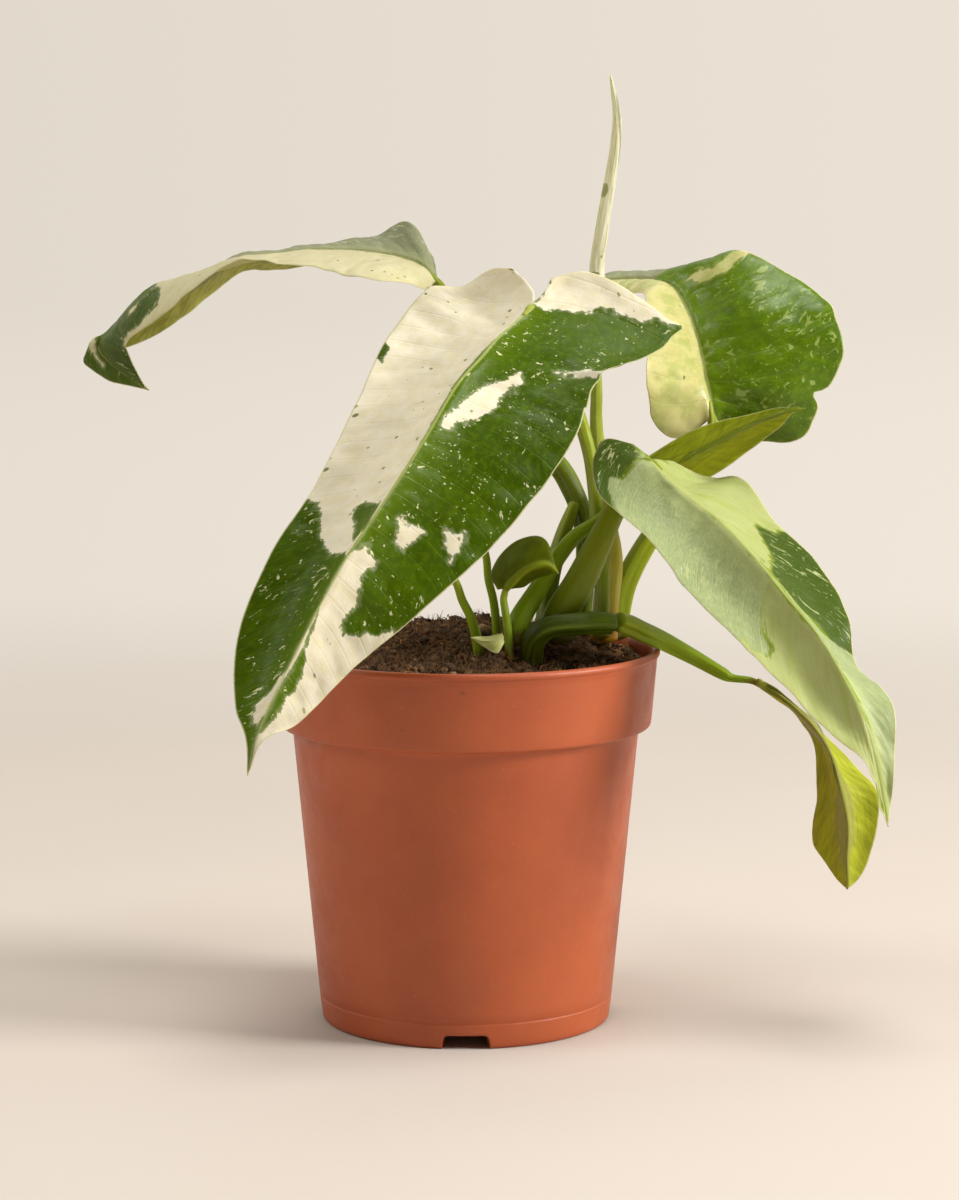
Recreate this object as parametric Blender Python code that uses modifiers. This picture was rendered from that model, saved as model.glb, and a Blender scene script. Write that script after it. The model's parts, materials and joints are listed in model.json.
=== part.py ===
"""Variegated philodendron in a plain nursery pot.

Metres, +Z up.  The pot stands on z = 0 with its axis on the Z axis, and the
plant grows out of the soil mound, leaning to the right (+X) with its largest
leaf hanging over the front (-Y) of the rim.

Each leaf blade is a thin shell lofted over hand-set sections.  One section is
(left margin, midrib, right margin, left crown, right crown): three points and
the height, normal to the blade, by which each half arches between midrib and
margin.  Each stalk is a tube along hand-set points (x, y, z, radius).  Blade
sections and stalk points are in millimetres.
"""
import bpy
import bmesh
import math
from mathutils import Vector

MM = 0.001

# ---- driving dimensions (millimetres) --------------------------------------
POT_HEIGHT = 116.0
RIM_RADIUS = 60.0            # outer radius of the lip
LIP_HEIGHT = 2.4             # rolled lip at the very top
LIP_OVERHANG = 0.7           # how far the lip stands out of the band
BAND_BOTTOM_Z = 92.0         # the wide band under the lip ends here
BAND_BOTTOM_RADIUS = 57.3
BODY_TOP_RADIUS = 53.6
BODY_FOOT_RADIUS = 44.9
FOOT_ROUNDING = 2.0
WALL = 1.2
BASE_UNDERSIDE_Z = 4.6       # the base is raised above the ring foot
BASE_THICKNESS = 1.4
FOOT_RING_WIDTH = 6.0
NOTCH_WIDTH = 15.0           # drainage notches through the ring foot
NOTCH_HEIGHT = 4.2
NOTCH_COUNT = 4
DRAIN_RADIUS = 4.0
DRAIN_CIRCLE = 25.0
SEGMENTS = 48

GAP = 0.3                    # clearance between neighbouring solids
SOIL_EDGE_BELOW_RIM = 7.0
SOIL_CROWN = 12.5            # height of the mound over the soil's edge
SOIL_CROWN_X, SOIL_CROWN_Y = 8.0, 14.0
SOIL_CROWN_SPREAD = 30.0
SOIL_SEGMENTS = 40

BLADE_THICKNESS = 0.8
ROWS_PER_SECTION = 2         # lofted rows between two sections
COLUMNS_PER_HALF = 3
TUBE_SIDES = 8

# ---- leaf sections ---------------------------------------------------------
FRONT = [
    ((14, -4, 232.5), (20, -12, 222), (26, -8, 229.5), 1, 1),
    ((6.5, 0, 232), (18.5, -14, 220), (38, -4, 231.5), 4, 3),
    ((-1.5, 2, 227), (15, -19, 217), (51.5, -6, 225), 5, 4),
    ((-10.5, 2, 227), (9.5, -26, 212.5), (63, -14, 215), 6, 4),
    ((-17, 0, 221), (4.5, -33, 207), (56, -22, 207.5), 6, 4),
    ((-25, -8, 210.5), (-3, -42, 199), (39.5, -32, 201), 6, 5),
    ((-33.5, -24, 192.5), (-12, -53, 184.5), (32.5, -46, 184), 6, 5),
    ((-45, -40, 169.5), (-24, -63, 166.5), (14, -58, 159.5), 5, 5),
    ((-58, -52, 150), (-35.5, -70, 149.5), (-7.5, -66, 139.5), 5, 4),
    ((-66.5, -62, 127.5), (-45.5, -75, 131), (-30.5, -70, 120.5), 4, 3),
    ((-66.5, -73, 109.5), (-55.5, -79, 111), (-47.5, -77, 104.5), 2, 1),
    ((-63, -79, 100.5), (-60, -81, 100.5), (-57, -81, 100), 1, 0.5),
    ((-62.5, -82, 90), (-62.5, -82, 90), (-62.5, -82, 90), 0, 0),
]
LEFT = [
    ((-12, 12, 225.5), (-9, 20, 228), (-10, 34, 235), 0, 0),
    ((-18, 4, 227.5), (-13, 24, 232), (-18, 44, 246), 1, 1),
    ((-26.5, -2, 228.5), (-21.5, 30, 235), (-29.5, 56, 240.5), 2, 3),
    ((-36, 0, 229.5), (-33, 36, 236.5), (-44, 66, 234.5), 2, 5),
    ((-44, 6, 232.5), (-45, 42, 237), (-54.5, 72, 230.5), 1, 4.5),
    ((-57.5, 14, 233.5), (-57.5, 48, 236), (-64.5, 76, 229.5), 1, 3),
    ((-69.5, 24, 234), (-70, 54, 234), (-73, 79, 229.5), 1, 4),
    ((-79.5, 33, 230), (-82, 60, 230.5), (-82.5, 80, 222.5), 1, 3),
    ((-89.5, 42, 221.5), (-93.5, 66, 227.5), (-93.5, 80, 214), 2, 3),
    ((-99.5, 50, 214), (-103, 70, 224.5), (-103.5, 81, 207.5), 2, 4),
    ((-108.5, 58, 208), (-113.5, 75, 214), (-115, 82, 203), 2, 4),
    ((-110, 63, 204), (-120.5, 79, 206), (-126, 82, 200), 2, 2),
    ((-107.5, 67, 198), (-117, 76, 200), (-118, 78, 194.5), 1, 1),
    ((-103.5, 68, 191), (-103.5, 68, 191), (-103.5, 68, 191), 0, 0),
]
UPPER = [
    ((70.5, 26, 179), (77.5, 24, 185.5), (85, 30, 180), 0, 0),
    ((63.5, 22, 179), (77, 25, 189.5), (94.5, 29, 177), 1, 2),
    ((57.5, 14, 186), (76.5, 27, 193), (106, 26, 178), 1, 3),
    ((55.5, 6, 195), (75.5, 30, 198), (112.5, 24, 190.5), 1, 4),
    ((55.5, 6, 203), (74.5, 34, 204.5), (120, 26, 205.5), 1, 4),
    ((58, 12, 210), (72.5, 38, 212), (116.5, 32, 219), 1, 4),
    ((57, 28, 218.5), (70, 44, 219), (105, 40, 228.5), 1, 3),
    ((55.5, 40, 224), (65.5, 51, 225.5), (86, 50, 236.5), 2, 2),
    ((49.5, 49, 221), (56.5, 59, 227), (73, 68, 228), 2, 3),
    ((38.5, 59, 219), (42.5, 66, 226.5), (57.5, 78, 228), 2, 2),
    ((30.5, 67, 218.5), (31, 71, 223.5), (39.5, 81, 226.5), 1, 1),
    ((21, 75, 218.5), (21, 75, 218.5), (21, 75, 218.5), 0, 0),
]
RIGHT = [
    ((50.5, -15, 180), (56.5, -12, 175), (63, -6, 174), 0, 0),
    ((41.5, -18, 181.5), (59.5, -14, 172), (70.5, 2, 170), 1, 1),
    ((38, -18, 173), (63.5, -17, 168), (77.5, 5, 168), 2, 2),
    ((41.5, -23, 164.5), (69.5, -21, 163), (85.5, 3, 167.5), 3, 2),
    ((54, -31, 154), (77, -26, 157.5), (95, -5, 155.5), 4, 3),
    ((66, -38, 137.5), (87, -34, 147), (108.5, -13, 142), 4, 4),
    ((80.5, -45, 123.5), (96, -40, 136), (116, -22, 127.5), 4, 4),
    ((93.5, -52, 111), (103.5, -46, 127), (117.5, -35, 114.5), 4, 3),
    ((107.5, -58, 97), (110.5, -53, 115), (126, -50, 106.5), 3, 2),
    ((117.5, -62, 89), (117.5, -58, 99.5), (126, -57, 91.5), 1, 1),
    ((123.5, -63, 71.5), (123.5, -63, 71.5), (123.5, -63, 71.5), 0, 0),
]
MID = [
    ((51, 10, 170), (54, 4, 166), (57, 9, 161.5), 0, 0),
    ((57, 14, 174), (60, 2, 170), (67.5, 13, 163), -2, -2),
    ((66, 15, 179.5), (69, 0, 175), (77, 14, 167.5), -3, -3),
    ((76.5, 13, 184.5), (79.5, -2, 181), (87, 12, 174.5), -3, -3),
    ((88, 7, 187.5), (90, -4, 186.5), (96, 6, 182.5), -2, -2),
    ((96.5, -1, 190), (98, -5, 189), (100.5, -1, 188.5), -1, -1),
    ((103.5, -6, 190), (103.5, -6, 190), (103.5, -6, 190), 0, 0),
]
DROOP = [
    ((90.5, -7, 107), (89.5, -8, 106), (89.5, -7, 104.5), 0, 0),
    ((100, -6, 100), (96.5, -14, 102.5), (95.5, -5, 101), -1, -1),
    ((108.5, -9, 92), (104.5, -20, 95.5), (103.5, -6, 93.5), -2, -2),
    ((118, -13, 82), (110, -25, 87.5), (107.5, -7, 85.5), -2, -2),
    ((125, -23, 75.5), (113, -30, 78), (108, -10, 72.5), -3, -2),
    ((125.5, -24, 65.5), (115.5, -31, 66), (106.5, -11, 59), -3, -2),
    ((123, -23, 54), (115.5, -29, 55.5), (109.5, -15, 52.5), -2, -1),
    ((120, -24, 48), (116, -27, 48), (113.5, -21, 47), -1, -0.5),
    ((116, -26, 45), (116, -26, 45), (116, -26, 45), 0, 0),
]
BABY = [
    ((9.5, -19, 136), (12.5, -20, 136.5), (14, -18, 136), 0, 0),
    ((7.5, -16, 140.5), (14, -21, 138.5), (18, -15, 137), 1, 1),
    ((10.5, -15, 146.5), (17.5, -23, 142), (21.5, -16, 139), 1, 1),
    ((18.5, -17, 152), (21.5, -24, 144), (25, -18, 140), 1, 1),
    ((24.5, -20, 151), (25, -24, 144), (26.5, -21, 141), 1, 1),
    ((28, -24, 141.5), (28, -24, 141.5), (28, -24, 141.5), 0, 0),
]
TINY = [
    ((11, -26, 123.5), (11.5, -27, 122.5), (11.5, -27, 121), 0, 0),
    ((7.5, -24, 122.5), (9, -28, 122), (9.5, -30, 118), 0.5, 0.5),
    ((4.5, -22, 122), (5.5, -27, 121.5), (6.5, -28, 119), 0.5, 0.5),
    ((1.5, -24, 122), (1.5, -24, 122), (1.5, -24, 122), 0, 0),
]
YOUNG_A = [
    ((-5, -13, 140), (-4.5, -15, 141), (-3.5, -13, 141.5), 0, 0),
    ((-11, -11, 143.5), (-6.5, -17, 145), (-2, -11, 146.5), 1, 1),
    ((-15.5, -13, 150), (-10, -20, 151), (-5, -13, 154), 1, 1),
    ((-18.5, -18, 156.5), (-14, -23, 157), (-11, -18, 159), 1, 1),
    ((-19, -26, 162.5), (-19, -26, 162.5), (-19, -26, 162.5), 0, 0),
]
YOUNG_B = [
    ((4.5, -5, 147), (5.5, -7, 147.5), (6.5, -5, 147.5), 0, 0),
    ((0, -3, 152.5), (4.5, -9, 152.5), (8.5, -3, 154.5), 1, 1),
    ((-2, -5, 159.5), (3, -12, 159.5), (7, -5, 162), 1, 1),
    ((-3, -10, 166.5), (0.5, -15, 167), (2.5, -10, 168.5), 1, 1),
    ((-3, -19, 174), (-3, -19, 174), (-3, -19, 174), 0, 0),
]
FRONT_PETIOLE = [
    (21.5, -7, 219, 1.7), (25, -1, 211, 1.9), (31, 3, 198, 2),
    (35.5, 4, 185, 2.1), (38.5, 3, 173.5, 2.1), (40, 2.5, 161, 2.1),
    (41, 2, 149, 2.2), (42, 1, 136.5, 2.3), (42, 0, 126, 2.4),
]
SPEAR_STALK = [
    (40.5, 6, 230.5, 1.9), (40.5, 7, 219.5, 1.7), (40, 8, 207, 1.7),
    (40.5, 9, 194, 1.8), (40.5, 10, 185.5, 1.9), (41.5, 10, 170, 2.5),
    (43.5, 9, 154.5, 3.1), (45, 9, 142, 3.7), (44, 8.5, 131, 3.9),
    (43.5, 8.5, 124, 4),
]
LEFT_PETIOLE = [
    (-7.5, 20, 225.5, 1.7), (-3.5, 21, 216.5, 1.8), (6.5, 22, 198.5, 2.2),
    (19, 21, 181.5, 2.7), (29, 19, 170.5, 3.1), (33.5, 18, 163, 3.2),
    (36.5, 17, 155, 3.2), (38, 17, 145.5, 3.2), (37.5, 17, 135.5, 3.2),
    (36.5, 17, 124.5, 3.3),
]
UPPER_PETIOLE = [
    (77.5, 25, 183.5, 1.5), (76, 24, 175, 1.9), (71.5, 22, 165.5, 2.6),
    (63.5, 21, 155.5, 3), (55.5, 20, 144, 3.3), (50, 20, 133, 3.6),
    (48, 20, 123.5, 3.7),
]
MID_PETIOLE = [
    (52, 4, 164.5, 1.5), (45.5, -2, 159, 1.8), (39.5, -4, 154.5, 2),
    (33.5, -5, 150.5, 2.2), (27.5, -8, 143.5, 2.5), (22, -12, 135, 2.9),
    (16.5, -16, 126.5, 3.3),
]
RIGHT_PETIOLE = [
    (56, -9, 173, 1.5), (51.5, -9.5, 167, 2.4), (45, -10.5, 158, 3.3),
    (39.5, -11, 147, 4.2), (34.5, -11, 137, 4.8), (29, -11, 127, 5.3),
]
DROOP_PETIOLE = [
    (25, -24, 125.5, 3), (34.5, -22, 126, 3.3), (45, -16, 125, 3.3),
    (53.5, -10, 122, 3.2), (60.5, -5, 118.5, 3), (70.5, -4, 113, 2.2),
    (80.5, -6, 107.5, 1.5), (87.5, -7.5, 106.5, 1.1),
]
BABY_PETIOLE = [
    (12, -19, 135.5, 1), (11.5, -19, 133, 1.1), (12, -20, 129.5, 1.2),
    (13, -21, 122, 1.3),
]
STALK_S1 = [
    (-4, -14, 139.5, 1.1), (-2.5, -14, 136.5, 1.2), (-1, -14, 132, 1.3),
    (1.5, -15, 127, 1.4), (3.5, -15, 120, 1.6),
]
STALK_S2 = [
    (6, -6, 146, 1.1), (6.5, -6, 143, 1.2), (7, -6, 137.5, 1.25),
    (8.5, -6, 131, 1.3), (9.5, -6, 122.5, 1.4),
]
SPEAR_LEAF = [
    (40.5, 7, 234, 2.4), (42, 5, 245.5, 2.15), (44, 4, 257.5, 1.9),
    (45.5, 3, 268, 1.7), (46, 2, 278, 1.35), (45, 1, 285, 0.8),
    (44, 1, 290.5, 0.35),
]

# ---- scene set-up ----------------------------------------------------------
for old in list(bpy.data.objects):
    bpy.data.objects.remove(old, do_unlink=True)

part_collection = bpy.data.collections.new("potted_philodendron")
bpy.context.scene.collection.children.link(part_collection)
cutter_collection = bpy.data.collections.new("cutters")
bpy.context.scene.collection.children.link(cutter_collection)


def principled(name, colour, roughness, metallic=0.0):
    mat = bpy.data.materials.new(name)
    mat.use_nodes = True
    shader = mat.node_tree.nodes["Principled BSDF"]
    shader.inputs["Base Color"].default_value = (*colour, 1.0)
    shader.inputs["Roughness"].default_value = roughness
    shader.inputs["Metallic"].default_value = metallic
    mat.diffuse_color = (*colour, 1.0)
    return mat


TERRACOTTA = principled("terracotta_plastic", (0.42, 0.13, 0.055), 0.5)
PEAT = principled("peat_soil", (0.022, 0.010, 0.005), 0.95)
LEAF = principled("variegated_leaf", (0.14, 0.22, 0.02), 0.38)
LEAF_PALE = principled("pale_leaf", (0.55, 0.58, 0.25), 0.4)
STALK = principled("green_stalk", (0.20, 0.28, 0.03), 0.4)


def add_object(name, mesh, material, collection=part_collection):
    obj = bpy.data.objects.new(name, mesh)
    obj.data.materials.append(material)
    collection.objects.link(obj)
    return obj


# ---- curves through hand-set points ----------------------------------------
def on_spline(points, t):
    """Catmull-Rom point at parameter t, with t counted in control points."""
    last = len(points) - 1
    i = min(int(math.floor(t)), last - 1)
    f = t - i
    p1, p2 = points[i], points[i + 1]
    p0 = points[i - 1] if i > 0 else p1 * 2.0 - p2
    p3 = points[i + 2] if i + 2 <= last else p2 * 2.0 - p1
    return 0.5 * (p1 * 2.0 + (p2 - p0) * f
                  + (p0 * 2.0 - p1 * 5.0 + p2 * 4.0 - p3) * f * f
                  + (p1 * 3.0 - p0 - p2 * 3.0 + p3) * f * f * f)


def on_line(values, t):
    last = len(values) - 1
    i = min(int(math.floor(t)), last - 1)
    return values[i] + (values[i + 1] - values[i]) * (t - i)


# ---- leaf blades -----------------------------------------------------------
def blade(name, sections, material, thickness=BLADE_THICKNESS):
    """A thin shell lofted over the sections, closed by Solidify."""
    left = [Vector(s[0]) * MM for s in sections]
    mid = [Vector(s[1]) * MM for s in sections]
    right = [Vector(s[2]) * MM for s in sections]
    crown_left = [s[3] * MM for s in sections]
    crown_right = [s[4] * MM for s in sections]
    last = len(sections) - 1
    rows = last * ROWS_PER_SECTION
    bm = bmesh.new()
    grid = []
    for r in range(rows):
        t = r / ROWS_PER_SECTION
        centre = on_spline(mid, t)
        tangent = (on_spline(mid, min(t + 0.05, last))
                   - on_spline(mid, max(t - 0.05, 0.0))).normalized()
        row = []
        for side, edge, crown in ((-1, left, crown_left), (1, right, crown_right)):
            reach = on_spline(edge, t) - centre
            normal = tangent.cross(reach) * -side
            if normal.length > 0.0:
                normal.normalize()
            height = on_line(crown, t)
            half = []
            for c in range(1, COLUMNS_PER_HALF + 1):
                q = c / COLUMNS_PER_HALF
                half.append(centre + reach * q + normal * (height * 4.0 * q * (1.0 - q)))
            row.append(half)
        points = list(reversed(row[0])) + [centre] + row[1]
        grid.append([bm.verts.new(p) for p in points])
    tip = bm.verts.new(mid[last])
    for lower, upper in zip(grid, grid[1:]):
        for a, b, c, d in zip(lower, lower[1:], upper[1:], upper):
            bm.faces.new((a, b, c, d))
    for a, b in zip(grid[-1], grid[-1][1:]):
        bm.faces.new((a, b, tip))
    bmesh.ops.recalc_face_normals(bm, faces=bm.faces)
    mesh = bpy.data.meshes.new(name)
    bm.to_mesh(mesh)
    bm.free()
    mesh.shade_smooth()
    obj = add_object(name, mesh, material)
    shell = obj.modifiers.new("thickness", "SOLIDIFY")
    shell.thickness = thickness * MM
    shell.offset = 0.0
    shell.use_rim = True
    return obj


# ---- stalks ----------------------------------------------------------------
def soil_height(x, y):
    """Height of the soil surface (millimetres) at a place inside the pot."""
    d2 = (x - SOIL_CROWN_X) ** 2 + (y - SOIL_CROWN_Y) ** 2
    return (POT_HEIGHT - SOIL_EDGE_BELOW_RIM
            + SOIL_CROWN * math.exp(-d2 / (2.0 * SOIL_CROWN_SPREAD ** 2)))


def stalk(name, points, material=STALK, rooted=True):
    """A round tapering stalk; a rooted one stops just above the soil."""
    centres = [Vector(p[:3]) for p in points]
    radii = [p[3] for p in points]
    last = len(points) - 1
    samples = []
    steps = last * 3
    for k in range(steps + 1):
        t = last * k / steps
        samples.append((on_spline(centres, t), on_line(radii, t)))
    if rooted:
        kept = []
        for place, radius in samples:
            slope = 0.35 * radius
            if place.z - slope - GAP < soil_height(place.x, place.y) + 0.5:
                break
            kept.append((place, radius))
        samples = kept
    data = bpy.data.curves.new(name, "CURVE")
    data.dimensions = "3D"
    data.bevel_depth = 1.0 * MM
    data.bevel_resolution = (TUBE_SIDES - 4) // 2
    data.use_fill_caps = True
    line = data.splines.new("POLY")
    line.points.add(len(samples) - 1)
    for point, (place, radius) in zip(line.points, samples):
        point.co = (place.x * MM, place.y * MM, place.z * MM, 1.0)
        point.radius = radius
    obj = bpy.data.objects.new(name, data)
    data.materials.append(material)
    part_collection.objects.link(obj)
    return obj


# ---- the pot ---------------------------------------------------------------
def body_radius(z):
    return BODY_FOOT_RADIUS + (BODY_TOP_RADIUS - BODY_FOOT_RADIUS) * z / BAND_BOTTOM_Z


def band_radius(z):
    top = RIM_RADIUS - LIP_OVERHANG
    share = (z - BAND_BOTTOM_Z) / (POT_HEIGHT - LIP_HEIGHT - BAND_BOTTOM_Z)
    return BAND_BOTTOM_RADIUS + (top - BAND_BOTTOM_RADIUS) * share


def pot_profile():
    """Half section of the pot as (radius, z), down the outside first."""
    lip_low = POT_HEIGHT - LIP_HEIGHT
    base_top = BASE_UNDERSIDE_Z + BASE_THICKNESS
    points = [(0.0, base_top), (body_radius(base_top) - WALL - 1.5, base_top),
              (body_radius(base_top) - WALL, base_top + 1.5),
              (body_radius(BAND_BOTTOM_Z) - WALL, BAND_BOTTOM_Z + WALL - 0.4),
              (band_radius(BAND_BOTTOM_Z) - WALL, BAND_BOTTOM_Z + WALL + 0.8),
              (band_radius(lip_low) - WALL, lip_low),
              (band_radius(lip_low) - WALL, POT_HEIGHT - 0.5),
              (band_radius(lip_low) - WALL + 0.4, POT_HEIGHT)]
    # rolled lip
    points += [(RIM_RADIUS - 0.5, POT_HEIGHT), (RIM_RADIUS, POT_HEIGHT - 0.6),
               (RIM_RADIUS, lip_low + 0.4), (band_radius(lip_low), lip_low - 0.2)]
    # band, step and body
    points += [(band_radius(BAND_BOTTOM_Z + 0.6), BAND_BOTTOM_Z + 0.6),
               (band_radius(BAND_BOTTOM_Z) - 0.6, BAND_BOTTOM_Z),
               (body_radius(BAND_BOTTOM_Z), BAND_BOTTOM_Z - 0.9)]
    # rounded foot
    for k in range(4):
        a = math.pi / 2.0 * k / 3.0
        points.append((body_radius(FOOT_ROUNDING) - FOOT_ROUNDING * (1.0 - math.cos(a)),
                       FOOT_ROUNDING * (1.0 - math.sin(a))))
    # inside of the ring foot and the raised base
    inner = body_radius(0.0) - FOOT_RING_WIDTH
    points += [(inner, 0.0), (inner - 0.5, BASE_UNDERSIDE_Z), (0.0, BASE_UNDERSIDE_Z)]
    return points


def pot():
    profile = pot_profile()
    mesh = bpy.data.meshes.new("pot")
    mesh.from_pydata([(r * MM, 0.0, z * MM) for r, z in profile],
                     [(i, i + 1) for i in range(len(profile) - 1)], [])
    obj = add_object("pot", mesh, TERRACOTTA)
    turn = obj.modifiers.new("turned", "SCREW")
    turn.steps = SEGMENTS
    turn.render_steps = SEGMENTS
    turn.use_merge_vertices = True
    turn.merge_threshold = 0.0001
    turn.use_smooth_shade = True
    cut = bpy.data.meshes.new("drainage")
    bm = bmesh.new()
    # notches through the ring foot, slightly wider at the floor
    for k in range(NOTCH_COUNT):
        angle = -math.pi / 2.0 + 2.0 * math.pi * k / NOTCH_COUNT
        made = bmesh.ops.create_cube(bm, size=1.0)["verts"]
        for v in made:
            high = v.co.z > 0.0
            half = NOTCH_WIDTH / 2.0 - (0.6 if high else -0.6)
            along = 52.0 if v.co.x > 0.0 else 30.0
            across = half if v.co.y > 0.0 else -half
            z = NOTCH_HEIGHT if high else -3.0
            v.co = (MM * (along * math.cos(angle) - across * math.sin(angle)),
                    MM * (along * math.sin(angle) + across * math.cos(angle)), MM * z)
    bm.to_mesh(cut)
    bm.free()
    notch = add_object("notch_cutter", cut, TERRACOTTA, cutter_collection)
    holes = bpy.data.meshes.new("holes")
    bm = bmesh.new()
    for k in range(4):
        angle = math.pi / 4.0 + math.pi / 2.0 * k
        made = bmesh.ops.create_cone(bm, cap_ends=True, segments=16,
                                     radius1=DRAIN_RADIUS * MM, radius2=DRAIN_RADIUS * MM,
                                     depth=6.0 * MM)["verts"]
        for v in made:
            v.co += Vector((DRAIN_CIRCLE * math.cos(angle), DRAIN_CIRCLE * math.sin(angle),
                            BASE_UNDERSIDE_Z + BASE_THICKNESS / 2.0)) * MM
    bm.to_mesh(holes)
    bm.free()
    drain = add_object("drain_cutter", holes, TERRACOTTA, cutter_collection)
    for cutter in (notch, drain):
        cutter.hide_render = True
        cutter.display_type = "WIRE"
        cut_mod = obj.modifiers.new(cutter.name, "BOOLEAN")
        cut_mod.operation = "DIFFERENCE"
        cut_mod.solver = "EXACT"
        cut_mod.object = cutter
    return obj


# ---- the soil --------------------------------------------------------------
def soil():
    """The root ball: it fills the pot up to a mounded top."""
    base_top = BASE_UNDERSIDE_Z + BASE_THICKNESS
    edge_z = POT_HEIGHT - SOIL_EDGE_BELOW_RIM
    rings = [(body_radius(base_top) - WALL - 1.5 - GAP, base_top + GAP),
             (body_radius(base_top) - WALL - 2.0 * GAP, base_top + 1.5 + GAP),
             (body_radius(BAND_BOTTOM_Z) - WALL - 2.0 * GAP, BAND_BOTTOM_Z + WALL),
             (band_radius(BAND_BOTTOM_Z) - WALL - 2.0 * GAP, BAND_BOTTOM_Z + WALL + 1.6),
             (band_radius(edge_z) - WALL - 2.0 * GAP, edge_z - 1.0)]
    edge = band_radius(edge_z) - WALL - 2.0 * GAP
    bm = bmesh.new()
    loops = []

    def ring(radius, height):
        loop = []
        for k in range(SOIL_SEGMENTS):
            a = 2.0 * math.pi * k / SOIL_SEGMENTS
            x, y = radius * math.cos(a), radius * math.sin(a)
            z = height if height is not None else soil_height(x, y)
            loop.append(bm.verts.new((x * MM, y * MM, z * MM)))
        loops.append(loop)

    for radius, height in rings:
        ring(radius, height)
    for share in (0.97, 0.82, 0.66, 0.5, 0.34, 0.18):
        ring(edge * share, None)
    for low, high in zip(loops, loops[1:]):
        for k in range(SOIL_SEGMENTS):
            n = (k + 1) % SOIL_SEGMENTS
            bm.faces.new((low[k], low[n], high[n], high[k]))
    bottom = bm.verts.new((0.0, 0.0, rings[0][1] * MM))
    top = bm.verts.new((0.0, 0.0, soil_height(0.0, 0.0) * MM))
    for k in range(SOIL_SEGMENTS):
        n = (k + 1) % SOIL_SEGMENTS
        bm.faces.new((loops[0][n], loops[0][k], bottom))
        bm.faces.new((loops[-1][k], loops[-1][n], top))
    mesh = bpy.data.meshes.new("soil")
    bm.to_mesh(mesh)
    bm.free()
    mesh.shade_smooth()
    return add_object("soil", mesh, PEAT)


# ---- assembly --------------------------------------------------------------
pot()
soil()

blade("front_leaf_blade", FRONT, LEAF)
blade("left_leaf_blade", LEFT, LEAF)
blade("upper_right_leaf_blade", UPPER, LEAF)
blade("right_front_leaf_blade", RIGHT, LEAF)
blade("mid_right_leaf_blade", MID, LEAF)
blade("drooping_leaf_blade", DROOP, LEAF)
blade("baby_leaf_blade", BABY, LEAF)
blade("tiny_leaf", TINY, LEAF_PALE)
blade("young_leaf_left", YOUNG_A, LEAF)
blade("young_leaf_right", YOUNG_B, LEAF)

stalk("front_leaf_petiole", FRONT_PETIOLE)
stalk("left_leaf_petiole", LEFT_PETIOLE)
stalk("upper_right_leaf_petiole", UPPER_PETIOLE)
stalk("right_front_leaf_petiole", RIGHT_PETIOLE)
stalk("mid_right_leaf_petiole", MID_PETIOLE)
stalk("drooping_leaf_petiole", DROOP_PETIOLE, rooted=False)
stalk("baby_leaf_petiole", BABY_PETIOLE)
stalk("spear_stalk", SPEAR_STALK)
stalk("spear_leaf", SPEAR_LEAF, LEAF_PALE, rooted=False)
stalk("young_stalk_left", STALK_S1)
stalk("young_stalk_right", STALK_S2)
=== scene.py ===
"""Looks of the potted philodendron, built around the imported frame.

Metres, +Z up, the same frame as the CAD solids.  Every visible piece is mesh
work done here: the pot is a finely turned profile, the soil a crumbled mound
with fibres, each leaf a fine lofted shell with relief along its veins, each
stalk a channelled tube.  Blade sections and stalk points are in millimetres
and repeat the solids' own.
"""
import math

import bpy
import bmesh
import numpy as np
from mathutils import Matrix, Vector, noise
from mathutils.kdtree import KDTree
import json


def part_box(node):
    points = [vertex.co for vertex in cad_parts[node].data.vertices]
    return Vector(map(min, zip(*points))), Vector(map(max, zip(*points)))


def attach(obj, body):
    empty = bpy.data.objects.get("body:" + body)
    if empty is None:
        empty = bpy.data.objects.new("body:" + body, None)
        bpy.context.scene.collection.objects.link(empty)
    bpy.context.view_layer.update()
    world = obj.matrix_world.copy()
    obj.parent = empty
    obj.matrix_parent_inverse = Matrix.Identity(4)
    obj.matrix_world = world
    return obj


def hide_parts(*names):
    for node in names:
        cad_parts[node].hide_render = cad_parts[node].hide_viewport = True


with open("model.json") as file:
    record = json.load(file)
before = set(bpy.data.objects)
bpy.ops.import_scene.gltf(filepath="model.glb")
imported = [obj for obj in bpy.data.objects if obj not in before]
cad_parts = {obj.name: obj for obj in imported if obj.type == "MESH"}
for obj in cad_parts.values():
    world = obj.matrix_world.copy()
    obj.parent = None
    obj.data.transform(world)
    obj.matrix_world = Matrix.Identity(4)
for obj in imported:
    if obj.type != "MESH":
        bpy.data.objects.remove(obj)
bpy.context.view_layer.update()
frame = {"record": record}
RECORD = frame["record"]
MM = 0.001

# ============================================================ dimensions (mm)
POT_HEIGHT = 116.0
RIM_RADIUS = 60.0
BAND_BOTTOM_Z = 92.0
BAND_BOTTOM_RADIUS = 57.3
BODY_TOP_RADIUS = 53.6
BODY_FOOT_RADIUS = 44.9
WALL = 1.2
BASE_UNDERSIDE_Z = 4.6
BASE_THICKNESS = 1.4
SOIL_EDGE_BELOW_RIM = 7.0
SOIL_CROWN = 12.5
SOIL_CROWN_X, SOIL_CROWN_Y = 8.0, 14.0
SOIL_CROWN_SPREAD = 30.0

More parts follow.
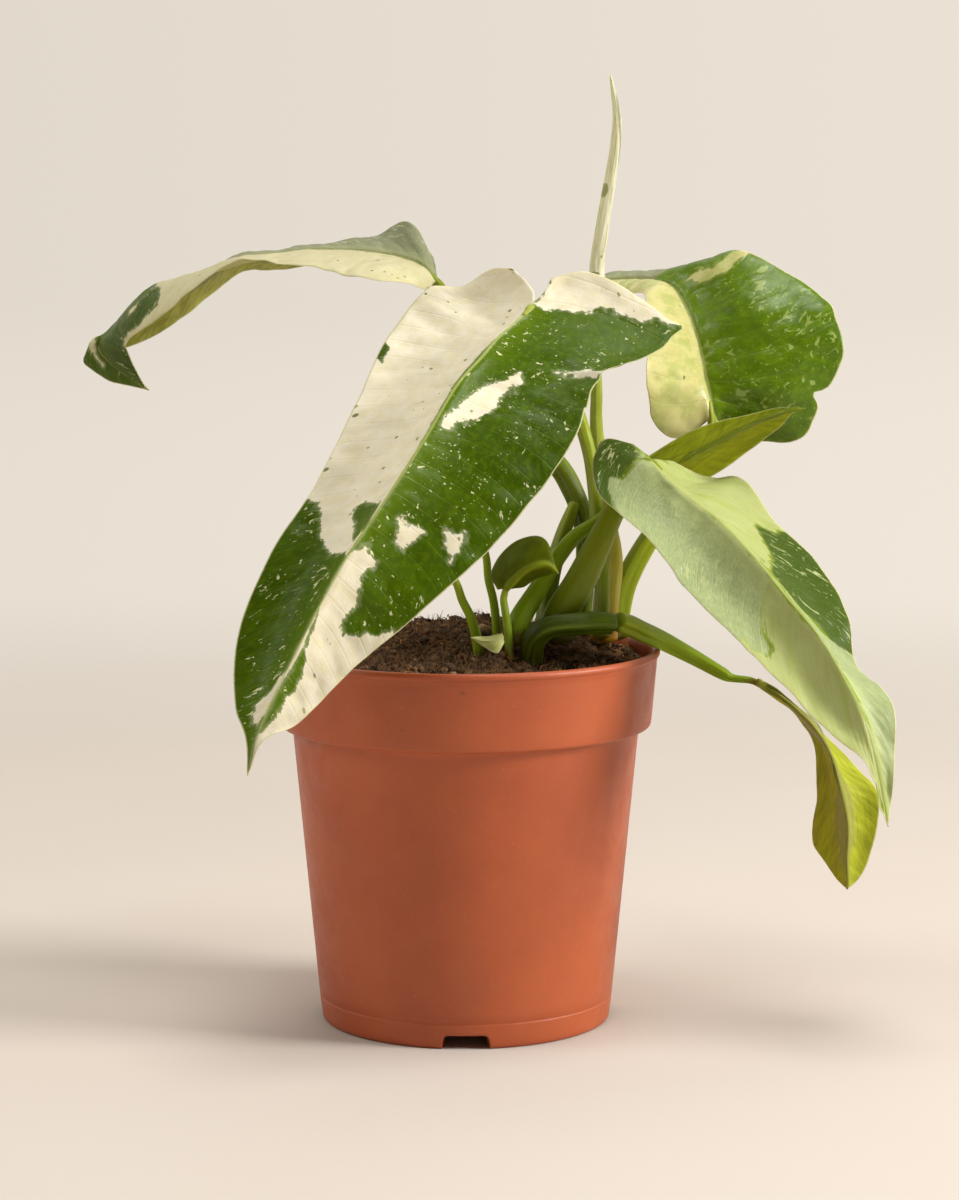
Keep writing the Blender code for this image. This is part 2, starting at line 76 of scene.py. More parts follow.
# =========================================== blade sections and stalk points (mm)
# Blade row: left margin, midrib, right margin, crown of each half.
# Stalk row: x, y, z, radius.
FRONT = [
    ((14, -4, 232.5), (20, -12, 222), (26, -8, 229.5), 1, 1),
    ((6.5, 0, 232), (18.5, -14, 220), (38, -4, 231.5), 4, 3),
    ((-1.5, 2, 227), (15, -19, 217), (51.5, -6, 225), 5, 4),
    ((-10.5, 2, 227), (9.5, -26, 212.5), (63, -14, 215), 6, 4),
    ((-17, 0, 221), (4.5, -33, 207), (56, -22, 207.5), 6, 4),
    ((-25, -8, 210.5), (-3, -42, 199), (39.5, -32, 201), 6, 5),
    ((-33.5, -24, 192.5), (-12, -53, 184.5), (32.5, -46, 184), 6, 5),
    ((-45, -40, 169.5), (-24, -63, 166.5), (14, -58, 159.5), 5, 5),
    ((-58, -52, 150), (-35.5, -70, 149.5), (-7.5, -66, 139.5), 5, 4),
    ((-66.5, -62, 127.5), (-45.5, -75, 131), (-30.5, -70, 120.5), 4, 3),
    ((-66.5, -73, 109.5), (-55.5, -79, 111), (-47.5, -77, 104.5), 2, 1),
    ((-63, -79, 100.5), (-60, -81, 100.5), (-57, -81, 100), 1, 0.5),
    ((-62.5, -82, 90), (-62.5, -82, 90), (-62.5, -82, 90), 0, 0),
]
LEFT = [
    ((-12, 12, 225.5), (-9, 20, 228), (-10, 34, 235), 0, 0),
    ((-18, 4, 227.5), (-13, 24, 232), (-18, 44, 246), 1, 1),
    ((-26.5, -2, 228.5), (-21.5, 30, 235), (-29.5, 56, 240.5), 2, 3),
    ((-36, 0, 229.5), (-33, 36, 236.5), (-44, 66, 234.5), 2, 5),
    ((-44, 6, 232.5), (-45, 42, 237), (-54.5, 72, 230.5), 1, 4.5),
    ((-57.5, 14, 233.5), (-57.5, 48, 236), (-64.5, 76, 229.5), 1, 3),
    ((-69.5, 24, 234), (-70, 54, 234), (-73, 79, 229.5), 1, 4),
    ((-79.5, 33, 230), (-82, 60, 230.5), (-82.5, 80, 222.5), 1, 3),
    ((-89.5, 42, 221.5), (-93.5, 66, 227.5), (-93.5, 80, 214), 2, 3),
    ((-99.5, 50, 214), (-103, 70, 224.5), (-103.5, 81, 207.5), 2, 4),
    ((-108.5, 58, 208), (-113.5, 75, 214), (-115, 82, 203), 2, 4),
    ((-110, 63, 204), (-120.5, 79, 206), (-126, 82, 200), 2, 2),
    ((-107.5, 67, 198), (-117, 76, 200), (-118, 78, 194.5), 1, 1),
    ((-103.5, 68, 191), (-103.5, 68, 191), (-103.5, 68, 191), 0, 0),
]
UPPER = [
    ((70.5, 26, 179), (77.5, 24, 185.5), (85, 30, 180), 0, 0),
    ((63.5, 22, 179), (77, 25, 189.5), (94.5, 29, 177), 1, 2),
    ((57.5, 14, 186), (76.5, 27, 193), (106, 26, 178), 1, 3),
    ((55.5, 6, 195), (75.5, 30, 198), (112.5, 24, 190.5), 1, 4),
    ((55.5, 6, 203), (74.5, 34, 204.5), (120, 26, 205.5), 1, 4),
    ((58, 12, 210), (72.5, 38, 212), (116.5, 32, 219), 1, 4),
    ((57, 28, 218.5), (70, 44, 219), (105, 40, 228.5), 1, 3),
    ((55.5, 40, 224), (65.5, 51, 225.5), (86, 50, 236.5), 2, 2),
    ((49.5, 49, 221), (56.5, 59, 227), (73, 68, 228), 2, 3),
    ((38.5, 59, 219), (42.5, 66, 226.5), (57.5, 78, 228), 2, 2),
    ((30.5, 67, 218.5), (31, 71, 223.5), (39.5, 81, 226.5), 1, 1),
    ((21, 75, 218.5), (21, 75, 218.5), (21, 75, 218.5), 0, 0),
]
RIGHT = [
    ((50.5, -15, 180), (56.5, -12, 175), (63, -6, 174), 0, 0),
    ((41.5, -18, 181.5), (59.5, -14, 172), (70.5, 2, 170), 1, 1),
    ((38, -18, 173), (63.5, -17, 168), (77.5, 5, 168), 2, 2),
    ((41.5, -23, 164.5), (69.5, -21, 163), (85.5, 3, 167.5), 3, 2),
    ((54, -31, 154), (77, -26, 157.5), (95, -5, 155.5), 4, 3),
    ((66, -38, 137.5), (87, -34, 147), (108.5, -13, 142), 4, 4),
    ((80.5, -45, 123.5), (96, -40, 136), (116, -22, 127.5), 4, 4),
    ((93.5, -52, 111), (103.5, -46, 127), (117.5, -35, 114.5), 4, 3),
    ((107.5, -58, 97), (110.5, -53, 115), (126, -50, 106.5), 3, 2),
    ((117.5, -62, 89), (117.5, -58, 99.5), (126, -57, 91.5), 1, 1),
    ((123.5, -63, 71.5), (123.5, -63, 71.5), (123.5, -63, 71.5), 0, 0),
]
MID = [
    ((51, 10, 170), (54, 4, 166), (57, 9, 161.5), 0, 0),
    ((57, 14, 174), (60, 2, 170), (67.5, 13, 163), -2, -2),
    ((66, 15, 179.5), (69, 0, 175), (77, 14, 167.5), -3, -3),
    ((76.5, 13, 184.5), (79.5, -2, 181), (87, 12, 174.5), -3, -3),
    ((88, 7, 187.5), (90, -4, 186.5), (96, 6, 182.5), -2, -2),
    ((96.5, -1, 190), (98, -5, 189), (100.5, -1, 188.5), -1, -1),
    ((103.5, -6, 190), (103.5, -6, 190), (103.5, -6, 190), 0, 0),
]
DROOP = [
    ((90.5, -7, 107), (89.5, -8, 106), (89.5, -7, 104.5), 0, 0),
    ((100, -6, 100), (96.5, -14, 102.5), (95.5, -5, 101), -1, -1),
    ((108.5, -9, 92), (104.5, -20, 95.5), (103.5, -6, 93.5), -2, -2),
    ((118, -13, 82), (110, -25, 87.5), (107.5, -7, 85.5), -2, -2),
    ((125, -23, 75.5), (113, -30, 78), (108, -10, 72.5), -3, -2),
    ((125.5, -24, 65.5), (115.5, -31, 66), (106.5, -11, 59), -3, -2),
    ((123, -23, 54), (115.5, -29, 55.5), (109.5, -15, 52.5), -2, -1),
    ((120, -24, 48), (116, -27, 48), (113.5, -21, 47), -1, -0.5),
    ((116, -26, 45), (116, -26, 45), (116, -26, 45), 0, 0),
]
BABY = [
    ((9.5, -19, 136), (12.5, -20, 136.5), (14, -18, 136), 0, 0),
    ((7.5, -16, 140.5), (14, -21, 138.5), (18, -15, 137), 1, 1),
    ((10.5, -15, 146.5), (17.5, -23, 142), (21.5, -16, 139), 1, 1),
    ((18.5, -17, 152), (21.5, -24, 144), (25, -18, 140), 1, 1),
    ((24.5, -20, 151), (25, -24, 144), (26.5, -21, 141), 1, 1),
    ((28, -24, 141.5), (28, -24, 141.5), (28, -24, 141.5), 0, 0),
]
TINY = [
    ((11, -26, 123.5), (11.5, -27, 122.5), (11.5, -27, 121), 0, 0),
    ((7.5, -24, 122.5), (9, -28, 122), (9.5, -30, 118), 0.5, 0.5),
    ((4.5, -22, 122), (5.5, -27, 121.5), (6.5, -28, 119), 0.5, 0.5),
    ((1.5, -24, 122), (1.5, -24, 122), (1.5, -24, 122), 0, 0),
]
YOUNG_A = [
    ((-5, -13, 140), (-4.5, -15, 141), (-3.5, -13, 141.5), 0, 0),
    ((-11, -11, 143.5), (-6.5, -17, 145), (-2, -11, 146.5), 1, 1),
    ((-15.5, -13, 150), (-10, -20, 151), (-5, -13, 154), 1, 1),
    ((-18.5, -18, 156.5), (-14, -23, 157), (-11, -18, 159), 1, 1),
    ((-19, -26, 162.5), (-19, -26, 162.5), (-19, -26, 162.5), 0, 0),
]
YOUNG_B = [
    ((4.5, -5, 147), (5.5, -7, 147.5), (6.5, -5, 147.5), 0, 0),
    ((0, -3, 152.5), (4.5, -9, 152.5), (8.5, -3, 154.5), 1, 1),
    ((-2, -5, 159.5), (3, -12, 159.5), (7, -5, 162), 1, 1),
    ((-3, -10, 166.5), (0.5, -15, 167), (2.5, -10, 168.5), 1, 1),
    ((-3, -19, 174), (-3, -19, 174), (-3, -19, 174), 0, 0),
]
FRONT_PETIOLE = [
    (21.5, -7, 219, 1.7), (25, -1, 211, 1.9), (31, 3, 198, 2),
    (35.5, 4, 185, 2.1), (38.5, 3, 173.5, 2.1), (40, 2.5, 161, 2.1),
    (41, 2, 149, 2.2), (42, 1, 136.5, 2.3), (42, 0, 126, 2.4),
]
SPEAR_STALK = [
    (40.5, 6, 230.5, 1.9), (40.5, 7, 219.5, 1.7), (40, 8, 207, 1.7),
    (40.5, 9, 194, 1.8), (40.5, 10, 185.5, 1.9), (41.5, 10, 170, 2.5),
    (43.5, 9, 154.5, 3.1), (45, 9, 142, 3.7), (44, 8.5, 131, 3.9),
    (43.5, 8.5, 124, 4),
]
LEFT_PETIOLE = [
    (-7.5, 20, 225.5, 1.7), (-3.5, 21, 216.5, 1.8), (6.5, 22, 198.5, 2.2),
    (19, 21, 181.5, 2.7), (29, 19, 170.5, 3.1), (33.5, 18, 163, 3.2),
    (36.5, 17, 155, 3.2), (38, 17, 145.5, 3.2), (37.5, 17, 135.5, 3.2),
    (36.5, 17, 124.5, 3.3),
]
UPPER_PETIOLE = [
    (77.5, 25, 183.5, 1.5), (76, 24, 175, 1.9), (71.5, 22, 165.5, 2.6),
    (63.5, 21, 155.5, 3), (55.5, 20, 144, 3.3), (50, 20, 133, 3.6),
    (48, 20, 123.5, 3.7),
]
MID_PETIOLE = [
    (52, 4, 164.5, 1.5), (45.5, -2, 159, 1.8), (39.5, -4, 154.5, 2),
    (33.5, -5, 150.5, 2.2), (27.5, -8, 143.5, 2.5), (22, -12, 135, 2.9),
    (16.5, -16, 126.5, 3.3),
]
RIGHT_PETIOLE = [
    (56, -9, 173, 1.5), (51.5, -9.5, 167, 2.4), (45, -10.5, 158, 3.3),
    (39.5, -11, 147, 4.2), (34.5, -11, 137, 4.8), (29, -11, 127, 5.3),
]
DROOP_PETIOLE = [
    (25, -24, 125.5, 3), (34.5, -22, 126, 3.3), (45, -16, 125, 3.3),
    (53.5, -10, 122, 3.2), (60.5, -5, 118.5, 3), (70.5, -4, 113, 2.2),
    (80.5, -6, 107.5, 1.5), (87.5, -7.5, 106.5, 1.1),
]
BABY_PETIOLE = [
    (12, -19, 135.5, 1), (11.5, -19, 133, 1.1), (12, -20, 129.5, 1.2),
    (13, -21, 122, 1.3),
]
STALK_S1 = [
    (-4, -14, 139.5, 1.1), (-2.5, -14, 136.5, 1.2), (-1, -14, 132, 1.3),
    (1.5, -15, 127, 1.4), (3.5, -15, 120, 1.6),
]
STALK_S2 = [
    (6, -6, 146, 1.1), (6.5, -6, 143, 1.2), (7, -6, 137.5, 1.25),
    (8.5, -6, 131, 1.3), (9.5, -6, 122.5, 1.4),
]
SPEAR_LEAF = [
    (40.5, 7, 234, 2.4), (42, 5, 245.5, 2.15), (44, 4, 257.5, 1.9),
    (45.5, 3, 268, 1.7), (46, 2, 278, 1.35), (45, 1, 285, 0.8),
    (44, 1, 290.5, 0.35),
]


# ================================================================ small tools
def linear(*rgb):
    """sRGB 0-255 to scene-linear."""
    out = []
    for c in rgb:
        c = c / 255.0
        out.append(c / 12.92 if c <= 0.04045 else ((c + 0.055) / 1.055) ** 2.4)
    return tuple(out) + (1.0,)


def spline(points, t):
    """Catmull-Rom through points at parameters t (control-point units)."""
    p = np.asarray(points, float)
    last = len(p) - 1
    t = np.clip(np.asarray(t, float), 0.0, last)
    i = np.minimum(np.floor(t).astype(int), last - 1)
    f = (t - i)[..., None]
    p1, p2 = p[i], p[i + 1]
    p0 = np.where((i > 0)[..., None], p[np.maximum(i - 1, 0)], 2 * p1 - p2)
    p3 = np.where((i + 2 <= last)[..., None], p[np.minimum(i + 2, last)], 2 * p2 - p1)
    return 0.5 * (2 * p1 + (p2 - p0) * f + (2 * p0 - 5 * p1 + 4 * p2 - p3) * f * f
                  + (p1 * 3 - p0 - 3 * p2 + p3) * f ** 3)


def unit(v):
    return v / (np.linalg.norm(v, axis=-1, keepdims=True) + 1e-12)


def smooth(a, b, x):
    x = np.clip((x - a) / (b - a), 0.0, 1.0)
    return x * x * (3 - 2 * x)


def waves(seed, *coords, scale=1.0, octaves=3):
    """Cheap smooth noise in about -1..1 from sums of turned sines."""
    rng = np.random.default_rng(seed)
    total = 0.0
    gain, norm = 1.0, 0.0
    freq = 1.0 / scale
    for _ in range(octaves):
        for _ in range(3):
            way = rng.normal(size=len(coords))
            way /= np.linalg.norm(way)
            phase = rng.uniform(0, 2 * math.pi)
            arg = sum(w * c for w, c in zip(way, coords)) * freq * 2 * math.pi + phase
            total = total + gain * np.sin(arg + 1.3 * np.sin(arg * 0.37 + phase * 2))
        norm += gain * 1.8
        gain *= 0.5
        freq *= 2.03
    return total / norm


def new_mesh(name, verts, faces, smooth_shade=True):
    mesh = bpy.data.meshes.new(name)
    mesh.from_pydata([tuple(v) for v in verts], [], faces)
    mesh.validate()
    if smooth_shade:
        mesh.shade_smooth()
    obj = bpy.data.objects.new(name, mesh)
    bpy.context.scene.collection.objects.link(obj)
    return obj


def give(mesh, name, values, kind="FLOAT"):
    layer = mesh.attributes.new(name, kind, "POINT")
    key = "value" if kind == "FLOAT" else "vector"
    layer.data.foreach_set(key, np.asarray(values, np.float32).ravel())


# ============================================================ node shorthand
class Tree:
    """Short names for the shader nodes used over and over here."""

    def __init__(self, name):
        self.mat = bpy.data.materials.new(name)
        self.mat.use_nodes = True
        self.nt = self.mat.node_tree
        self.nt.nodes.clear()
        self.out = self.nt.nodes.new("ShaderNodeOutputMaterial")

    def node(self, kind, **props):
        n = self.nt.nodes.new(kind)
        for k, v in props.items():
            setattr(n, k, v)
        return n

    def put(self, socket, value):
        if isinstance(value, bpy.types.NodeSocket):
            self.nt.links.new(value, socket)
        elif value is not None:
            if isinstance(value, (tuple, list)) and socket.type == "RGBA" and len(value) == 3:
                value = (*value, 1.0)
            socket.default_value = value

    def attr(self, name, vector=False):
        n = self.node("ShaderNodeAttribute", attribute_name=name)
        return n.outputs["Vector" if vector else "Fac"]

    def place(self):
        return self.node("ShaderNodeTexCoord").outputs["Object"]

    def math(self, op, a, b=None, c=None, clamp=False):
        n = self.node("ShaderNodeMath", operation=op, use_clamp=clamp)
        for s, v in zip(n.inputs, (a, b, c)):
            if v is not None:
                self.put(s, v)
        return n.outputs[0]

    def add(self, a, b):
        return self.math("ADD", a, b)

    def sub(self, a, b):
        return self.math("SUBTRACT", a, b)

    def mul(self, a, b):
        return self.math("MULTIPLY", a, b)

    def vec(self, op, a, b):
        n = self.node("ShaderNodeVectorMath", operation=op)
        self.put(n.inputs[0], a)
        self.put(n.inputs[1], b)
        return n.outputs[0]

    def ramp(self, x, lo, hi, a=0.0, b=1.0, kind="SMOOTHSTEP"):
        n = self.node("ShaderNodeMapRange", interpolation_type=kind, clamp=True) if kind != "LINEAR" \
            else self.node("ShaderNodeMapRange", clamp=True)
        self.put(n.inputs["Value"], x)
        n.inputs["From Min"].default_value = lo
        n.inputs["From Max"].default_value = hi
        n.inputs["To Min"].default_value = a
        n.inputs["To Max"].default_value = b
        return n.outputs["Result"]

    def noise(self, vector, scale, detail=2.0, rough=0.5, distortion=0.0, colour=False):
        n = self.node("ShaderNodeTexNoise")
        self.put(n.inputs["Vector"], vector)
        n.inputs["Scale"].default_value = scale
        n.inputs["Detail"].default_value = detail
        n.inputs["Roughness"].default_value = rough
        n.inputs["Distortion"].default_value = distortion
        return n.outputs["Color" if colour else "Fac"]

    def voronoi(self, vector, scale, randomness=1.0):
        n = self.node("ShaderNodeTexVoronoi")
        self.put(n.inputs["Vector"], vector)
        n.inputs["Scale"].default_value = scale
        n.inputs["Randomness"].default_value = randomness
        return n.outputs["Distance"], n.outputs["Color"]

    def mix(self, fac, a, b, blend="MIX"):
        n = self.node("ShaderNodeMix", data_type="RGBA", blend_type=blend, clamp_factor=True)
        self.put(n.inputs[0], fac)
        self.put(n.inputs[6], a)
        self.put(n.inputs[7], b)
        return n.outputs[2]

    def red(self, colour):
        n = self.node("ShaderNodeSeparateColor")
        self.put(n.inputs[0], colour)
        return n.outputs[0], n.outputs[1], n.outputs[2]

    def bump(self, height, strength, distance, normal=None):
        n = self.node("ShaderNodeBump")
        n.inputs["Strength"].default_value = strength
        n.inputs["Distance"].default_value = distance
        self.put(n.inputs["Height"], height)
        if normal is not None:
            self.put(n.inputs["Normal"], normal)
        return n.outputs["Normal"]

    def surface(self, colour, roughness, normal=None, specular=0.5, coat=0.0, coat_rough=0.3,
                through=0.0, through_colour=None, sheen=0.0):
        p = self.node("ShaderNodeBsdfPrincipled")
        self.put(p.inputs["Base Color"], colour)
        self.put(p.inputs["Roughness"], roughness)
        p.inputs["Specular IOR Level"].default_value = specular
        p.inputs["Coat Weight"].default_value = coat
        p.inputs["Coat Roughness"].default_value = coat_rough
        p.inputs["Sheen Weight"].default_value = sheen
        if normal is not None:
            self.put(p.inputs["Normal"], normal)
        last = p.outputs[0]
        if through > 0.0:
            t = self.node("ShaderNodeBsdfTranslucent")
            self.put(t.inputs["Color"], through_colour if through_colour is not None else colour)
            if normal is not None:
                self.put(t.inputs["Normal"], normal)
            m = self.node("ShaderNodeMixShader")
            m.inputs[0].default_value = through
            self.nt.links.new(last, m.inputs[1])
            self.nt.links.new(t.outputs[0], m.inputs[2])
            last = m.outputs[0]
        self.nt.links.new(last, self.out.inputs["Surface"])
        return self.mat


# ========================================================== camera and lights
def look(location, pitch, turn, lens):
    data = bpy.data.cameras.new("camera")
    data.lens = lens
    data.sensor_width = 36.0
    data.clip_start = 0.05
    data.clip_end = 40.0
    cam = bpy.data.objects.new("camera", data)
    cam.location = location
    cam.rotation_euler = (math.pi / 2 - pitch, 0.0, -turn)
    bpy.context.scene.collection.objects.link(cam)
    bpy.context.scene.camera = cam


look((0.0, -1.0209, 0.2571), 0.1234, 0.00417, 100.0)


def softbox(name, place, target, size, power, colour=(1.0, 1.0, 1.0), size_y=None):
    data = bpy.data.lights.new(name, "AREA")
    data.energy = power
    data.color = colour
    data.size = size
    if size_y:
        data.shape = "RECTANGLE"
        data.size_y = size_y
    lamp = bpy.data.objects.new(name, data)
    lamp.location = place
    way = Vector(target) - Vector(place)
    lamp.rotation_euler = way.to_track_quat("-Z", "Y").to_euler()
    bpy.context.scene.collection.objects.link(lamp)
    return lamp


softbox("key_right", (1.36, -0.36, 0.78), (0.0, 0.0, 0.12), 0.50, 30.0, (1.0, 0.985, 0.96))
softbox("fill_left", (-1.35, -0.30, 1.15), (0.0, 0.0, 0.12), 0.7, 9.0, (1.0, 0.985, 0.97))
softbox("top_front", (0.14, -0.30, 2.0), (0.0, 0.0, 0.15), 0.8, 20.0, (1.0, 0.985, 0.965))
softbox("top_back", (0.1, 0.9, 1.5), (0.0, 0.0, 0.15), 1.0, 3.0, (1.0, 0.99, 0.97))

# a pale studio: bright behind the plant and all along the horizon, dimmer
# above and behind the viewer
world = bpy.data.worlds.new("studio")
bpy.context.scene.world = world
world.use_nodes = True
wt = world.node_tree
back = wt.nodes["Background"]
sky_way = wt.nodes.new("ShaderNodeTexCoord")
sky_split = wt.nodes.new("ShaderNodeSeparateXYZ")
wt.links.new(sky_way.outputs["Generated"], sky_split.inputs[0])


def sky_range(socket, lo, hi, a, b):
    n = wt.nodes.new("ShaderNodeMapRange")
    n.interpolation_type = "SMOOTHSTEP"
    n.clamp = True
    n.inputs["From Min"].default_value = lo
    n.inputs["From Max"].default_value = hi
    n.inputs["To Min"].default_value = a
    n.inputs["To Max"].default_value = b
    wt.links.new(socket, n.inputs["Value"])
    return n.outputs["Result"]


def sky_math(op, a, b):
    n = wt.nodes.new("ShaderNodeMath")
    n.operation = op
    for s, v in zip(n.inputs, (a, b)):
        if isinstance(v, bpy.types.NodeSocket):
            wt.links.new(v, s)
        else:
            s.default_value = v
    return n.outputs[0]


BACKDROP = linear(236, 227, 214)
behind = sky_range(sky_split.outputs[1], -0.15, 0.45, 0.0, 1.0)
low_band = sky_range(sky_split.outputs[2], 0.06, 0.34, 1.0, 0.0)
lit = sky_math("MAXIMUM", behind, sky_math("MULTIPLY", low_band, sky_range(sky_split.outputs[1], -0.85, -0.35, 0.75, 1.0)))
slant = sky_range(sky_split.outputs[0], -0.22, 0.22, -0.055, 0.04)
strength = sky_math("ADD", sky_math("ADD", sky_math("MULTIPLY", lit, 0.85), 0.10), slant)
back.inputs["Color"].default_value = BACKDROP
wt.links.new(strength, back.inputs["Strength"])
bpy.context.scene.view_settings.view_transform = "Standard"
bpy.context.scene.view_settings.look = "None"

# floor: a wide pale sheet; out from the plant it turns into a glowing sheet of painted light in the backdrop's tone,
# dimming a little with distance and a little brighter to the right, so its far rim melts into the backdrop
floor_bm = bmesh.new()
bmesh.ops.create_circle(floor_bm, cap_ends=True, cap_tris=False, segments=96, radius=9.0)
floor_mesh = bpy.data.meshes.new("floor")
floor_bm.to_mesh(floor_mesh)
floor_bm.free()
floor = bpy.data.objects.new("floor", floor_mesh)
bpy.context.scene.collection.objects.link(floor)
ft = Tree("pale_floor")
here = ft.place()
sep = ft.node("ShaderNodeSeparateXYZ")
ft.put(sep.inputs[0], here)
away = ft.node("ShaderNodeVectorMath", operation="LENGTH")
ft.put(away.inputs[0], here)
grain = ft.noise(here, 3.0, 3.0, 0.6)
tone = ft.mix(ft.ramp(grain, 0.3, 0.7), linear(193, 183, 173), linear(196, 187, 177))
pf = ft.node("ShaderNodeBsdfPrincipled")
ft.put(pf.inputs["Base Color"], tone)
pf.inputs["Roughness"].default_value = 0.75
pf.inputs["Specular IOR Level"].default_value = 0.15
# painted light: the far floor glows instead of taking the lamps
glow = ft.node("ShaderNodeEmission")
glow.inputs["Color"].default_value = linear(236, 227, 214)
shifted = ft.vec("SUBTRACT", here, (0.0, -1.02, 0.0))
way = ft.node("ShaderNodeVectorMath", operation="NORMALIZE")
ft.put(way.inputs[0], shifted)
way_x = ft.node("ShaderNodeSeparateXYZ")
ft.put(way_x.inputs[0], way.outputs[0])
level = ft.add(ft.ramp(away.outputs["Value"], 1.2, 6.5, 1.005, 0.95), ft.ramp(way_x.outputs[0], -0.22, 0.22, -0.055, 0.04))
ft.put(glow.inputs["Strength"], level)
fade = ft.node("ShaderNodeMixShader")
ft.put(fade.inputs[0], ft.ramp(away.outputs["Value"], 0.26, 1.15))
ft.nt.links.new(pf.outputs[0], fade.inputs[1])
ft.nt.links.new(glow.outputs[0], fade.inputs[2])
ft.nt.links.new(fade.outputs[0], ft.out.inputs["Surface"])
floor_mesh.materials.append(ft.mat)


# ============================================================== leaf surfaces
def blade_point(rows, t, q):
    """Point of a blade at station t and share q (-1 left margin, +1 right)."""
    left = [r[0] for r in rows]
    mid = [r[1] for r in rows]
    right = [r[2] for r in rows]
    last = len(rows) - 1
    t = np.clip(np.asarray(t, float), 0, last)
    q = np.asarray(q, float)
    c = spline(mid, t)
    tangent = unit(spline(mid, np.minimum(t + 0.05, last)) - spline(mid, np.maximum(t - 0.05, 0)))
    edge = np.where((q < 0)[..., None], spline(left, t), spline(right, t))
    side = np.where(q < 0, -1.0, 1.0)[..., None]
    reach = edge - c
    n = unit(np.cross(tangent, reach) * -side)
    step = np.arange(last + 1)
    h = np.where(q < 0, np.interp(t, step, [r[3] for r in rows]), np.interp(t, step, [r[4] for r in rows]))
    a = np.abs(q)
    return c + reach * a[..., None] + n * (h * 4 * a * (1 - np.minimum(a, 1.0)))[..., None]


def inside(poly, x, y):
    poly = np.asarray(poly, float)
    hit = np.zeros(x.shape, bool)
    j = len(poly) - 1
    for i in range(len(poly)):
        xi, yi = poly[i]
        xj, yj = poly[j]
        cross = ((yi > y) != (yj > y)) & (x < (xj - xi) * (y - yi) / (yj - yi + 1e-12) + xi)
        hit ^= cross
        j = i
    return hit


def patch_distance(rows, poly, t, q, pts):
    """Signed distance in mm from pts to a patch drawn in (t, q), + inside."""
    line = []
    n = len(poly)
    for i in range(n):
        a, b = np.array(poly[i], float), np.array(poly[(i + 1) % n], float)
        k = max(4, int(18 * np.hypot(*(b - a))))
        line += [a + (b - a) * f / k for f in range(k)]
    line = np.array(line)
    places = blade_point(rows, line[:, 0], line[:, 1])
    tree = KDTree(len(places))
    for i, p in enumerate(places):
        tree.insert(Vector(p), i)
    tree.balance()
    flat = pts.reshape(-1, 3)
    dist = np.array([tree.find(Vector(p))[2] for p in flat]).reshape(t.shape)
    return np.where(inside(poly, t, q), dist, -dist)


def field(rows, t, q, pts, add, cut=()):
    total = np.full(t.shape, -30.0)
    for poly in add:
        total = np.maximum(total, patch_distance(rows, poly, t, q, pts))
    for poly in cut:
        total = np.minimum(total, -patch_distance(rows, poly, t, q, pts))
    return np.clip(total, -30, 30)


